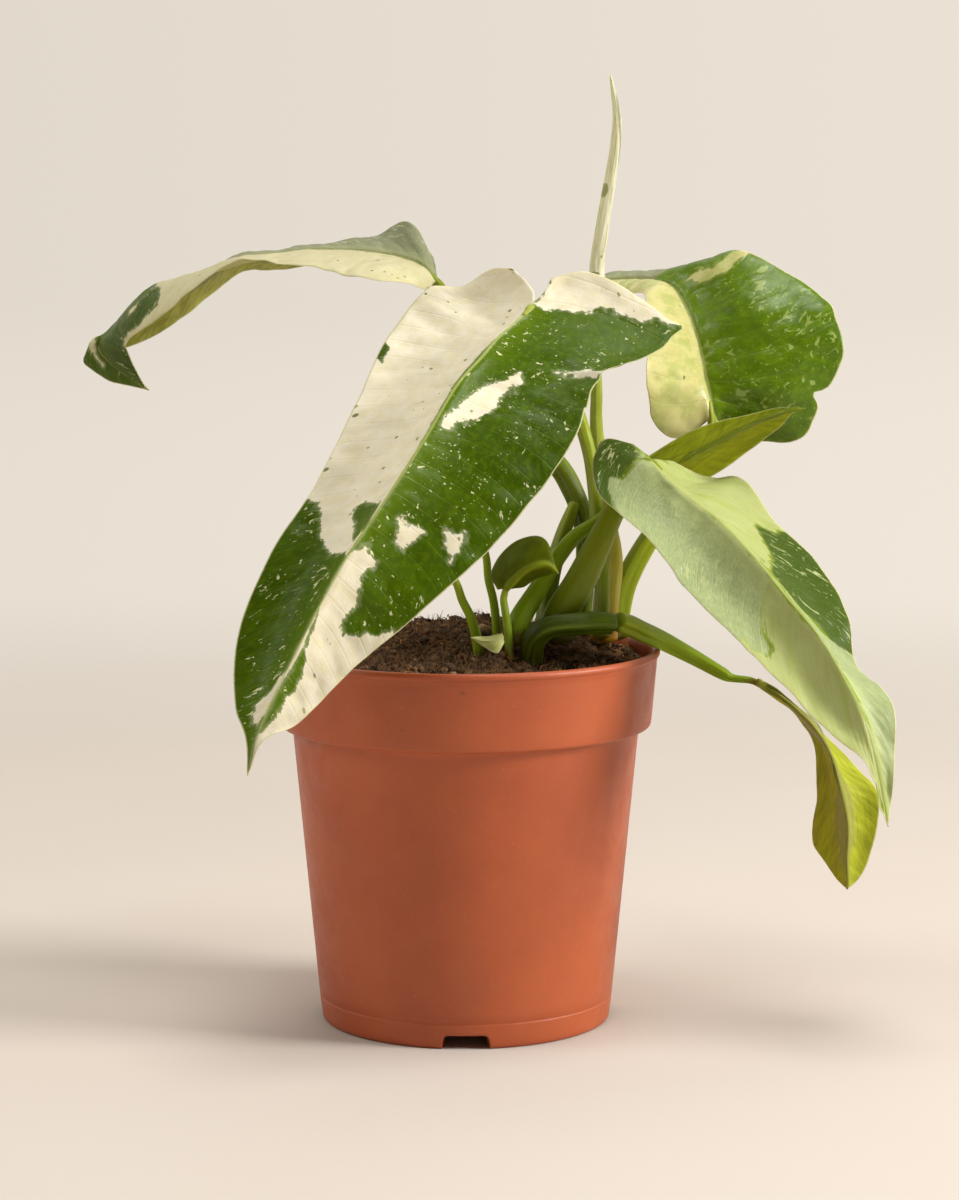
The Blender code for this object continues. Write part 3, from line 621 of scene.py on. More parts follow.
def blade_piece(name, rows, top, mat, node, cream=(), green=(), dark=(), grey=(),
                gap=6.0, sweep=0.7, ripple=0.5, seed=1, cell=1.15, thick=0.45, puff=0.22,
                keel=1.2, step=None, cuts=(), bulge=None, jitter=0.010):
    last = len(rows) - 1
    fine = np.linspace(0, last, 60 * last + 1)
    run = 0
    for q in (-1.0, -0.5, 0.0, 0.5, 1.0):
        line = blade_point(rows, fine, np.full_like(fine, q))
        run = run + np.r_[0, np.cumsum(np.linalg.norm(np.diff(line, axis=0), axis=1))]
    run = run / 5.0
    count = max(16, int(run[-1] / cell))
    ts = np.interp(np.linspace(0, run[-1], count + 1), run, fine)
    mid_line = blade_point(rows, fine, np.zeros_like(fine))
    mid_run = np.r_[0, np.cumsum(np.linalg.norm(np.diff(mid_line, axis=0), axis=1))]
    width = max(np.linalg.norm(np.array(r[e]) - np.array(r[1])) for r in rows for e in (0, 2))
    half = max(7, int(width / cell))
    shares = np.linspace(0, 1, half + 1)
    qs = np.r_[-shares[::-1], shares[1:]]
    t, q = np.meshgrid(ts, qs, indexing="ij")
    # small dents and wander of the margin
    f = 1.0 - jitter * (1 + waves(seed + 31, t * 0.45, np.sign(q), octaves=3)) * smooth(0.3, 1.2, t) \
        * smooth(0.3, 1.0, last - t)
    for side, at, wide, deep in cuts:
        f = f - np.where(np.sign(q) == side, deep, 0.0) * np.exp(-((t - at) / wide) ** 2)
    drawn = q
    q = q * (1 - (1 - f) * np.abs(q) ** 3)
    p = blade_point(rows, t, q)
    if bulge is not None:
        side, until, push = bulge
        p = p + (np.where(np.sign(q) == side, 1.0, 0.0) * np.sin(math.pi * np.clip(np.abs(q) ** 0.8, 0, 1))
                 * np.clip(1 - t / until, 0, 1))[..., None] * np.array(push)
    s = np.interp(t, fine, mid_run)
    length = mid_run[-1]
    centre = p[:, half:half + 1, :]
    # distance from the midrib along the blade
    seg = np.linalg.norm(np.diff(p, axis=1), axis=2)
    run_q = np.concatenate([np.zeros((p.shape[0], 1)), np.cumsum(seg, axis=1)], axis=1)
    x = run_q - run_q[:, half:half + 1]
    edge = np.where(q < 0, run_q, run_q[:, -1:] - run_q)
    dt = np.gradient(p, axis=0)
    dq = np.gradient(p, axis=1)
    n = np.cross(dt, dq)
    # keep the normal steady at the ends where rows close up
    n = unit(n)
    lead = blade_point(rows, np.full(1, last * 0.5), np.full(1, 0.3))
    a = blade_point(rows, np.array([last * 0.5, last * 0.5 + 0.2]), np.array([0.4, 0.4]))
    b = blade_point(rows, np.array([last * 0.5, last * 0.5]), np.array([0.4, 0.6]))
    want = -np.cross(a[1] - a[0], b[1] - b[0]) * top
    here = n[p.shape[0] // 2, half + int(half * 0.4)]
    if np.dot(here, want) < 0:
        n = -n
    n[0] = n[1]
    n[-1] = n[-2]
    w = s - sweep * np.abs(x) * (0.45 + 0.55 * np.abs(q))
    # relief
    body = smooth(0.0, 4.0, edge) * smooth(0, 8, s) * smooth(0, 10, length - s)
    beat = w / gap + 0.32 * waves(seed + 5, s / 30, x / 26, octaves=2)
    puffs = np.abs(np.sin(math.pi * beat)) ** 0.7
    relief = puff * body * (puffs - 0.55) * smooth(0.5, 4.0, np.abs(x))
    relief += 0.38 * waves(seed, p[..., 0], p[..., 1], p[..., 2], scale=26.0, octaves=2) * smooth(0.0, 5.0, np.abs(x))
    relief += 0.10 * waves(seed + 2, p[..., 0], p[..., 1], p[..., 2], scale=7.0, octaves=2)
    relief += ripple * waves(seed + 9, s / 24.0, np.sign(q) * 2.0, octaves=2) * smooth(0.55, 1.0, np.abs(q)) ** 1.5 \
        * smooth(0, 10, s) * smooth(0, 12, length - s)
    groove_w = 0.9 * (1 - 0.5 * s / length)
    groove = -0.42 * np.exp(-(x / groove_w) ** 2) + 0.16 * np.exp(-((np.abs(x) - 2.0) / 1.0) ** 2)
    relief = relief + groove * smooth(0, 4, length - s)
    if step is not None:
        poly, rise, fade_q = step
        d = patch_distance(rows, poly, t, q, p)
        relief = relief + rise * smooth(-0.45, 0.45, d) * smooth(fade_q[0], fade_q[1], q) \
            * smooth(-13.0, 0.0, -np.maximum(d, 0))
    thin = thick * (0.35 + 0.65 * smooth(0.0, 2.0, edge))
    rib = keel * (1 - 0.85 * smooth(0, 1, s / length)) * np.exp(-(x / (1.25 * (1 - 0.45 * s / length))) ** 2)
    rib = rib + 0.10 * body * (1 - puffs) * smooth(1.0, 3.0, np.abs(x))
    upper = p + n * (relief + thin / 2)[..., None]
    lower = p + n * (relief - thin / 2 - rib)[..., None]
    rows_n, cols = t.shape
    verts = np.concatenate([upper.reshape(-1, 3), lower.reshape(-1, 3)]) * MM
    off = rows_n * cols
    faces = []
    for i in range(rows_n - 1):
        for j in range(cols - 1):
            k = i * cols + j
            faces.append((k, k + 1, k + cols + 1, k + cols))
            faces.append((off + k, off + k + cols, off + k + cols + 1, off + k + 1))
        for j, flip in ((0, False), (cols - 1, True)):
            k = i * cols + j
            quad = (k, k + cols, off + k + cols, off + k)
            faces.append(quad[::-1] if flip else quad)
    for j in range(cols - 1):
        faces.append((j, off + j, off + j + 1, j + 1))
        k = (rows_n - 1) * cols + j
        faces.append((k, k + 1, off + k + 1, off + k))
    obj = new_mesh(name, verts, faces)
    mesh = obj.data
    if len(mesh.vertices) != 2 * off:
        raise RuntimeError(name + ": vertices were lost")
    cream_field = field(rows, t, q, p, cream, green) if cream else np.full(t.shape, -30.0)
    dark_field = field(rows, t, q, p, dark) if dark else np.full(t.shape, -30.0)
    grey_field = field(rows, t, q, p, grey) if grey else np.full(t.shape, -30.0)

    def both(v):
        return np.concatenate([v.ravel(), v.ravel()])

    give(mesh, "cream", both(cream_field))
    give(mesh, "dark", both(dark_field))
    give(mesh, "grey", both(grey_field))
    give(mesh, "across", both(x))
    give(mesh, "edge", both(edge))
    give(mesh, "along", both(s / length))
    give(mesh, "length_mm", both(s))
    give(mesh, "under", np.r_[np.zeros(off), np.ones(off)])
    # millimetres across and along the lateral veins, one sheet per side
    vein = np.stack([w, np.abs(x), np.where(q < 0, 60.0, 0.0) + 0 * w], axis=-1)
    give(mesh, "vein", np.concatenate([vein.reshape(-1, 3)] * 2), "FLOAT_VECTOR")
    bm = bmesh.new()
    bm.from_mesh(mesh)
    bmesh.ops.remove_doubles(bm, verts=bm.verts, dist=0.00004)
    bmesh.ops.recalc_face_normals(bm, faces=bm.faces)
    bm.to_mesh(mesh)
    bm.free()
    mesh.shade_smooth()
    mesh.materials.append(mat)
    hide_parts(node)
    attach(obj, "root")
    return obj


# ============================================================ leaf appearance
def _lengthwise(self):
    """Millimetres across and along the whole blade."""
    n = self.node("ShaderNodeCombineXYZ")
    self.put(n.inputs[0], self.attr("across"))
    self.put(n.inputs[1], self.attr("length_mm"))
    return n.outputs[0]


Tree.lengthwise = _lengthwise


def _node_x(self, vector):
    n = self.node("ShaderNodeSeparateXYZ")
    self.put(n.inputs[0], vector)
    return n.outputs[0]


Tree.node_x = _node_x

def leaf_material(name, green, dark, grey, cream, rib, under, fleck=0.5, fleck_colour=None,
                  dots=0.3, jag=1.6, cell=(3.2, 7.0), rough=0.36, through=0.3, mottle=0.25,
                  under_cream=None, seed=0.0, creamgreen=0.12, spec=0.19, streaky=1.0):
    m = Tree(name)
    vein = m.attr("vein", True)
    shift = m.vec("ADD", vein, (seed, seed * 1.7, seed * 0.3))
    place = m.place()
    across = m.math("ABSOLUTE", m.attr("across"))
    under_f = m.attr("under")
    # millimetre noise, stretched along the veins
    stretched = m.vec("MULTIPLY", shift, (1.0 / cell[0], 1.0 / cell[1], 1.0))
    stretched_fine = m.vec("MULTIPLY", shift, (1.0 / 1.1, 1.0 / 4.5, 1.0))
    coarse = m.noise(stretched, 0.55, 3.0, 0.6)
    fine = m.noise(stretched_fine, 1.0, 2.0, 0.6)
    ragged = m.add(m.mul(m.sub(coarse, 0.5), jag * 4.2), m.mul(m.sub(fine, 0.5), jag * 1.8))
    calm = m.ramp(across, 0.4, 3.0)
    cream_line = m.add(m.attr("cream"), m.mul(ragged, calm))
    cream_mask = m.ramp(cream_line, -0.22, 0.22)
    halo = m.ramp(cream_line, -1.6, 0.1, 0.0, 0.5)
    # greens
    broad = m.noise(place, 38.0, 3.0, 0.6)
    g = m.mix(m.ramp(broad, 0.30, 0.70, 0.0, mottle * 2), green, dark)
    streak = m.ramp(m.noise(stretched, 1.6, 3.0, 0.65), 0.42, 0.68)
    light_green = (green[0] * 1.75 + 0.012, green[1] * 1.65 + 0.012, green[2] * 1.4 + 0.001, 1.0)
    g = m.mix(m.mul(streak, 0.38), g, light_green)
    g = m.mix(m.ramp(across, 0.5, 13.0, 0.42, 0.0), g, light_green)
    dark_line = m.add(m.attr("dark"), m.mul(ragged, 0.8))
    g = m.mix(m.ramp(dark_line, -0.6, 0.6), g, dark)
    # grey-green zones: partly the leaf's own grey-green mottle, partly painted sheen where the blade is seen at a
    # grazing angle
    grey_line = m.add(m.attr("grey"), m.mul(ragged, 0.8))
    grain = m.noise(m.vec("MULTIPLY", shift, (1.0 / 0.55, 1.0 / 1.1, 1.0)), 1.0, 3.0, 0.7)
    grey_dark = tuple(v * 0.60 for v in grey[:3]) + (1.0,)
    grey_here = m.mix(m.ramp(grain, 0.40, 0.64, 0.0, 0.62), grey, grey_dark)
    grey_here = m.mix(m.ramp(coarse, 0.48, 0.68, 0.0, 0.35), grey_here, grey_dark)
    # painted light: the grey is lifted next to the midrib to even out the shade that falls there
    grey_midrib_painted_light = (min(1.0, grey[0] * 1.4), min(1.0, grey[1] * 1.35), grey[2] * 1.2, 1.0)
    grey_here = m.mix(m.ramp(across, 0.5, 11.0, 0.6, 0.0), grey_here, grey_midrib_painted_light)
    g = m.mix(m.ramp(grey_line, -0.7, 0.7, 0.0, 0.9), g, grey_here)
    # pale flecks in the green: small torn shapes in loose clusters, and a dusting of specks
    fc = fleck_colour or cream
    torn = m.noise(m.vec("MULTIPLY", shift, (1.0 / cell[0], 1.0 / cell[1], 1.0)), 1.25, 4.0, 0.62, 0.7)
    cluster = m.noise(m.vec("MULTIPLY", shift, (1.0 / 13.0, 1.0 / 15.0, 1.0)), 1.0, 2.0, 0.5)
    torn_line = m.add(torn, m.mul(m.sub(cluster, 0.5), 0.30))
    spot = m.ramp(torn_line, 0.698 - 0.10 * fleck, 0.720 - 0.10 * fleck)
    dust = m.noise(m.vec("MULTIPLY", shift, (1.0 / 0.95, 1.0 / 1.5, 1.0)), 1.1, 2.0, 0.55)
    dust_line = m.add(dust, m.mul(m.sub(cluster, 0.5), 0.22))
    spot2 = m.ramp(dust_line, 0.752 - 0.10 * fleck, 0.775 - 0.10 * fleck)
    thin_line = m.noise(m.vec("MULTIPLY", shift, (1.0 / 0.8, 1.0 / 9.0, 1.0)), 1.2, 3.0, 0.6)
    spot3 = m.ramp(m.add(thin_line, m.mul(m.sub(cluster, 0.5), 0.25)), 0.655, 0.72, 0.0, 0.5)
    flecks = m.math("MAXIMUM", m.math("MAXIMUM", m.mul(spot, 0.95), m.mul(spot2, 0.85)), m.mul(spot3, 0.8 * fleck))
    flecks = m.mul(flecks, m.ramp(m.attr("edge"), 0.3, 1.6))
    g = m.mix(flecks, g, fc)
    pale_halo = tuple(a * 0.45 + b * 0.55 for a, b in zip(cream[:3], light_green[:3])) + (1.0,)
    g = m.mix(halo, g, pale_halo)
    # cream, faintly veined, with a scatter of green specks
    warm = tuple(c * k for c, k in zip(cream[:3], (0.93, 0.90, 0.74))) + (1.0,)
    c = m.mix(m.ramp(m.noise(stretched, 0.8, 3.0, 0.6), 0.35, 0.72, 0.0, 0.85), cream, warm)
    tint = tuple(a * 0.72 + b * 0.28 for a, b in zip(cream[:3], light_green[:3])) + (1.0,)
    c = m.mix(m.ramp(m.noise(stretched, 2.3, 3.0, 0.7), 0.60, 0.74, 0.0, 0.55), c, tint)
    deep_tint = tuple(a * 0.5 + b * 0.5 for a, b in zip(cream[:3], light_green[:3])) + (1.0,)
    c = m.mix(m.ramp(m.noise(stretched, 0.42, 4.0, 0.62), 0.44, 0.62, 0.0, creamgreen), c, deep_tint)
    d3, c3 = m.voronoi(m.vec("MULTIPLY", shift, (1 / 3.0, 1 / 3.6, 1.0)), 1.0)
    r3, g3, b3 = m.red(c3)
    dot = m.mul(m.ramp(m.sub(m.ramp(r3, 1 - dots, 1.0, 0.04, 0.24, "LINEAR"), d3), -0.02, 0.05),
                m.ramp(r3, 1 - dots, 1 - dots + 0.03))
    dot_colour = m.mix(m.ramp(g3, 0.2, 0.9), linear(88, 104, 38), linear(150, 158, 92))
    c = m.mix(m.mul(dot, 0.9), c, dot_colour)
    base = m.mix(cream_mask, g, c)
    # midrib and margin
    rib_line = m.ramp(m.add(across, m.mul(m.attr("along"), 0.45)), 0.45, 1.15, 1.0, 0.0)
    base = m.mix(m.mul(rib_line, 0.85), base, rib)
    vein_lines = m.math("ABSOLUTE", m.math("SINE", m.mul(m.node_x(vein), math.pi / 6.0)))
    base = m.mix(m.mul(m.ramp(vein_lines, 0.0, 0.16, 1.0, 0.0), m.ramp(across, 1.0, 9.0, 0.16, 0.03)), base, rib)
    margin = m.ramp(m.add(m.attr("edge"), m.mul(fine, 0.25)), 0.28, 0.62, 1.0, 0.0)
    base = m.mix(m.mul(margin, 0.8), base, linear(226, 219, 170))
    # underside: paler and duller
    uc = under_cream or tuple(a * 0.75 + b * 0.25 for a, b in zip(cream[:3], under[:3])) + (1.0,)
    below_green = m.mix(m.ramp(m.noise(stretched, 1.3, 3.0, 0.6), 0.35, 0.7), under,
                        tuple(v * 0.72 for v in under[:3]) + (1.0,))
    below_green = m.mix(m.ramp(dark_line, -0.8, 0.8, 0.0, 0.75), below_green, tuple(v * 0.42 for v in under[:3]) + (1.0,))
    below_green = m.mix(m.ramp(grey_line, -1.2, 1.2, 0.0, 0.8), below_green, grey)
    long_streak = m.noise(m.vec("MULTIPLY", m.lengthwise(), (1.0 / 1.6, 1.0 / 26.0, 1.0)), 1.0, 4.0, 0.65)
    below_green = m.mix(m.ramp(long_streak, 0.50, 0.68, 0.0, 0.55 * streaky), below_green, tuple(v * 0.55 for v in under[:3]) + (1.0,))
    below_green = m.mix(m.ramp(long_streak, 0.46, 0.30, 0.0, 0.45), below_green,
                        (min(1, under[0] * 1.3), min(1, under[1] * 1.35), under[2] * 1.2, 1.0))
    below = m.mix(cream_mask, below_green, uc)
    below = m.mix(m.ramp(across, 0.6, 1.9, 0.8, 0.0), below, rib)
    below = m.mix(m.mul(margin, 0.6), below, linear(214, 212, 150))
    base = m.mix(under_f, base, below)
    # gloss and fine relief
    gloss = m.add(m.ramp(m.noise(place, 260.0, 3.0, 0.6), 0.3, 0.7, rough - 0.05, rough + 0.09), m.mul(under_f, 0.18))
    height = m.add(m.mul(m.noise(place, 900.0, 2.0, 0.6), 0.4), m.mul(m.noise(stretched_fine, 2.0, 3.0, 0.6), 0.9))
    height = m.add(height, m.mul(m.ramp(vein_lines, 0.0, 0.2), 0.7))
    normal = m.bump(height, 0.34, 0.00022)
    glow = m.mix(0.5, base, m.mix(cream_mask, linear(150, 170, 30), cream))
    return m.surface(base, gloss, normal, specular=spec, coat=0.0, coat_rough=0.28,
                     through=through, through_colour=glow)


CREAM = linear(240, 233, 211)
FRONT_MAT = leaf_material("front_leaf_skin", linear(74, 100, 2), linear(42, 64, 0), linear(112, 124, 80),
                          CREAM, linear(178, 190, 100), linear(124, 138, 34), fleck=0.55, fleck_colour=linear(224, 224, 172),
                          dots=0.34, jag=1.5, spec=0.13, cell=(2.6, 3.6), rough=0.34, through=0.26, seed=0.0)
LEFT_MAT = leaf_material("left_leaf_skin", linear(66, 88, 6), linear(34, 52, 0), linear(146, 150, 114),
                         linear(208, 202, 162), linear(206, 206, 130), linear(196, 196, 104), fleck=0.45,
                         dots=0.22, jag=1.2, cell=(2.4, 4.0), rough=0.36, through=0.22, seed=11.0)
UPPER_MAT = leaf_material("upper_leaf_skin", linear(96, 126, 14), linear(62, 92, 4), linear(142, 144, 112),
                          linear(212, 206, 142), linear(196, 206, 120), linear(124, 136, 34), fleck=0.80, creamgreen=0.75, spec=0.36,
                          fleck_colour=linear(158, 178, 92), dots=0.12, jag=1.3, cell=(2.3, 5.4),
                          rough=0.27, through=0.28, seed=23.0)
RIGHT_MAT = leaf_material("right_leaf_skin", linear(122, 142, 26), linear(76, 98, 28), linear(184, 196, 142),
                          linear(187, 195, 130), linear(190, 198, 116), linear(140, 150, 44), fleck=0.62,
                          fleck_colour=linear(196, 204, 142), dots=0.10, jag=1.5, cell=(2.0, 6.5),
                          rough=0.33, through=0.28, seed=37.0, creamgreen=0.5)
MID_MAT = leaf_material("mid_leaf_skin", linear(98, 118, 10), linear(64, 84, 4), linear(112, 124, 60),
                        CREAM, linear(160, 170, 40), linear(172, 182, 20), streaky=1.5, fleck=0.25, dots=0.1,
                        rough=0.42, through=0.35, seed=41.0)
DROOP_MAT = leaf_material("droop_leaf_skin", linear(98, 116, 14), linear(64, 80, 6), linear(166, 164, 92),
                          CREAM, linear(160, 162, 70), linear(192, 198, 50), fleck=0.25, dots=0.1,
                          rough=0.42, through=0.32, seed=53.0)
BABY_MAT = leaf_material("baby_leaf_skin", linear(94, 110, 6), linear(56, 74, 2), linear(110, 120, 60),
                         CREAM, linear(160, 176, 40), linear(112, 126, 10), fleck=0.2, dots=0.1,
                         rough=0.34, through=0.3, seed=61.0)
TINY_MAT = leaf_material("tiny_leaf_skin", linear(196, 202, 130), linear(170, 180, 100), linear(190, 196, 140),
                         linear(232, 226, 182), linear(214, 214, 150), linear(206, 206, 150), fleck=0.3,
                         dots=0.1, rough=0.4, through=0.35, seed=71.0)

FAR = 1.45
front_cream = [
    [(-0.3, 0.0), (0.27, 0.03), (2.4, 0.0), (4.33, -0.05), (5.98, -0.02), (7.01, 0.0), (7.85, -0.02), (7.79, -0.16),
     (7.76, -0.39), (7.55, -0.65), (7.19, -0.84), (7.16, -0.97), (7.22, -FAR), (-0.3, -FAR)],
    [(-0.3, 0.0), (0.42, 0.09), (1.11, 0.23), (1.62, 0.49), (1.92, 0.65), (1.92, 0.74), (2.08, 0.8), (2.26, 0.76),
     (2.47, 0.81), (2.71, 0.95), (2.95, 0.99), (3.0, FAR), (-0.3, FAR)],
    [(7.85, 0.0), (7.64, 0.06), (7.61, 0.12), (7.73, 0.16), (7.79, 0.3), (7.94, 0.24), (8.06, 0.23), (8.27, 0.29),
     (8.42, 0.39), (8.57, 0.38), (8.72, 0.41), (8.81, 0.53), (8.72, 0.74), (8.54, 0.96), (8.5, FAR),
     (12.2, FAR), (12.2, 0.0)],
    [(9.23, 0.02), (9.56, -0.02), (9.92, -0.39), (10.44, -0.57), (10.59, -0.24), (10.2, 0.0), (9.44, 0.1)],
    [(5.77, 0.06), (5.65, 0.05), (5.17, 0.15), (5.05, 0.18), (4.66, 0.3), (4.45, 0.31), (4.81, 0.44), (5.08, 0.35),
     (5.38, 0.39), (5.5, 0.33), (5.68, 0.15), (5.77, 0.09)],
    [(4.95, 1.1), (4.90, 0.95), (4.56, 0.76), (4.42, 0.62), (4.36, 0.5), (4.33, 0.51), (4.38, 0.64), (4.49, 0.78),
     (4.80, 0.97), (4.86, 1.1)],
    [(7.16, 0.18), (7.1, 0.21), (7.22, 0.3), (7.16, 0.34), (7.25, 0.43), (7.37, 0.4), (7.55, 0.41), (7.49, 0.31),
     (7.31, 0.26)],
    [(7.19, 0.59), (7.13, 0.62), (7.19, 0.74), (7.34, 0.78), (7.55, 0.81), (7.4, 0.7)],
]
front_green = [
    [(7.58, -0.15), (7.22, -0.42), (7.04, -0.47), (6.95, -0.39), (6.95, -0.24), (7.01, -0.05), (7.43, 0.0)],
    [(5.02, -0.93), (5.29, -0.93), (5.32, -1.2), (5.0, -1.2)],
    [(8.6, 0.0), (9.32, 0.07), (10.02, -0.01), (10.89, -0.05), (10.77, 0.28), (9.98, 0.36), (9.65, 0.43),
     (9.47, 0.34), (9.08, 0.11)],
]
blade_piece("front_blade_skin", FRONT, -1, FRONT_MAT, "front_leaf_blade", cream=front_cream,
            green=front_green, gap=8.2, sweep=0.45, ripple=0.5, seed=3, cell=0.95, puff=0.30,
            bulge=(-1, 1.0, (2.6, 0.0, 0.8)), cuts=[(1, 3.0, 0.17, -0.065)],
            step=([(5.0, FAR), (4.93, 0.98), (4.57, 0.78), (4.45, 0.65), (4.36, 0.48), (5.4, 0.45), (5.7, FAR)],
                  -1.3, (0.42, 0.75)))
# the grey patch over the far half is mostly painted sheen, the blade there seen at a grazing angle
blade_piece("left_blade_skin", LEFT, 1, LEFT_MAT, "left_leaf_blade",
            cream=[[(-0.3, 0.0), (8.75, 0.0), (8.6, -0.3), (8.6, -0.6), (8.75, -0.8), (9.6, -0.88), (10.4, -0.92),
                    (10.9, -0.96), (11.0, -FAR), (-0.3, -FAR)],
                   [(9.35, -0.38), (9.55, -0.3), (9.6, -0.5), (9.4, -0.52)],
                   [(10.3, 0.25), (11.2, 0.1), (11.9, 0.3), (11.3, 0.32), (10.6, 0.42)]],
            grey=[[(-0.3, 0.02), (9.0, 0.02), (9.0, 0.6), (5.0, 0.8), (3.9, 0.7), (3.3, 0.5), (2.7, 0.6), (2.4, FAR),
                   (-0.3, FAR)]],
            gap=6.5, sweep=0.45, ripple=0.6, seed=17, cell=1.0)
# the grey strip at the far end is mostly painted sheen, where the tip turns away at a grazing angle
blade_piece("upper_right_blade_skin", UPPER, 1, UPPER_MAT, "upper_right_leaf_blade",
            cream=[[(-0.3, 0.0), (11.2, 0.0), (11.2, -FAR), (-0.3, -FAR)],
                   [(6.84, 0.15), (6.48, 0.31), (6.51, 0.45), (6.56, 0.64), (6.73, 0.96), (6.92, 1.2),
                    (6.86, 0.79), (6.67, 0.51), (6.84, 0.34)]],
            grey=[[(7.6, 0.0), (11.2, 0.0), (11.2, FAR), (7.6, FAR)]],
            gap=6.2, sweep=0.22, ripple=0.7, seed=29, cell=0.95, puff=0.42, jitter=0.016,
            cuts=[(1, 3.05, 0.13, 0.085), (1, 4.7, 0.3, 0.02)])
# the grey zones on the left half and at the far right are the leaf's grey-green mottle with painted sheen over it
blade_piece("right_front_blade_skin", RIGHT, -1, RIGHT_MAT, "right_front_leaf_blade",
            cream=[[(-0.3, 0.0), (5.0, 0.0), (5.1, 0.2), (4.69, 0.5), (3.93, 0.71), (4.19, 0.89), (4.3, FAR), (-0.3, FAR)],
                   [(5.46, -0.03), (6.49, -0.06), (7.79, 0.0), (8.7, -0.02), (9.25, 0.31), (9.9, 0.48), (9.9, 0.0),
                    (9.02, -FAR), (5.9, -FAR), (5.99, -0.94), (6.19, -0.93), (6.47, -0.82), (6.44, -0.66),
                    (6.09, -0.6), (5.84, -0.36)]],
            dark=[[(0.5, -0.2), (0.83, -0.39), (1.68, -0.57), (2.01, -0.61), (2.21, -0.8), (2.56, -0.86), (3.03, -0.88),
                   (3.43, -1.0), (3.4, -FAR), (-0.3, -FAR)],
                  [(3.93, 0.71), (4.19, 0.89), (4.3, FAR), (7.02, FAR), (6.84, 0.91), (6.32, 0.62), (5.86, 0.36),
                   (5.54, 0.25), (5.11, 0.24), (4.69, 0.55)]],
            grey=[[(0.6, 0.0), (5.5, -0.02), (5.84, -0.36), (6.09, -0.61), (6.42, -0.68), (6.47, -0.82), (6.0, -FAR),
                   (3.5, -FAR), (3.4, -0.98), (2.9, -0.86), (2.2, -0.78), (2.0, -0.58), (0.9, -0.36)],
                  [(5.0, 0.12), (5.6, 0.22), (6.4, 0.6), (7.1, FAR), (10.2, FAR), (10.2, 0.3), (8.0, 0.08)]],
            gap=6.2, sweep=0.85, ripple=0.9, seed=43, cell=0.95, puff=0.2)
# the larger dark patch, over the upper half, is painted shade; the small one on the lower half is a darker streak
blade_piece("mid_right_blade_skin", MID, -1, MID_MAT, "mid_right_leaf_blade",
            dark=[[(0.3, -0.06), (2.0, -0.30), (4.6, -0.18), (5.3, -0.5), (3.4, -0.62), (2.0, -0.5), (0.6, -0.5)],
                  [(2.6, 0.28), (4.4, 0.34), (4.0, 0.5), (2.8, 0.42)]], gap=4.6, sweep=0.8,
            ripple=0.3, seed=51, cell=0.9, puff=0.15, keel=0.8)
blade_piece("drooping_blade_skin", DROOP, -1, DROOP_MAT, "drooping_leaf_blade",
            grey=[[(0.5, -0.2), (3.6, -0.35), (5.6, -0.4), (6.6, -0.2), (6.4, 0.3), (5.0, 0.45), (3.4, 0.3), (0.5, 0.2)]],
            gap=5.0, sweep=0.8,
            ripple=0.5, seed=59, cell=0.9, puff=0.18, keel=0.7)
blade_piece("baby_blade_skin", BABY, -1, BABY_MAT, "baby_leaf_blade", gap=3.0, sweep=0.8, ripple=0.15,
            seed=67, cell=0.6, thick=0.4, puff=0.08, keel=0.5)
blade_piece("tiny_leaf_skin", TINY, -1, TINY_MAT, "tiny_leaf", gap=2.2, sweep=0.8, ripple=0.08,
            seed=73, cell=0.5, thick=0.35, puff=0.05, keel=0.25)
blade_piece("young_left_blade_skin", YOUNG_A, -1, BABY_MAT, "young_leaf_left", gap=3.0, sweep=0.8,
            ripple=0.15, seed=79, cell=0.8, thick=0.4, puff=0.08, keel=0.4)
blade_piece("young_right_blade_skin", YOUNG_B, -1, BABY_MAT, "young_leaf_right", gap=3.0, sweep=0.8,
            ripple=0.15, seed=83, cell=0.8, thick=0.4, puff=0.08, keel=0.4)

# ==================================================================== stalks
def tube_frames(c):
    """Steady sideways frames along a line of points."""
    tan = unit(np.gradient(c, axis=0))
    side = np.zeros_like(c)
    ref = np.array([0.0, -1.0, 0.0])
    v = ref - tan[0] * np.dot(ref, tan[0])
    if np.linalg.norm(v) < 0.2:
        v = np.array([0.0, 0.0, 1.0]) - tan[0] * tan[0][2]
    v = v / np.linalg.norm(v)
    for i in range(len(c)):
        v = v - tan[i] * np.dot(v, tan[i])
        v = v / np.linalg.norm(v)
        side[i] = v
    return tan, side, np.cross(tan, side)


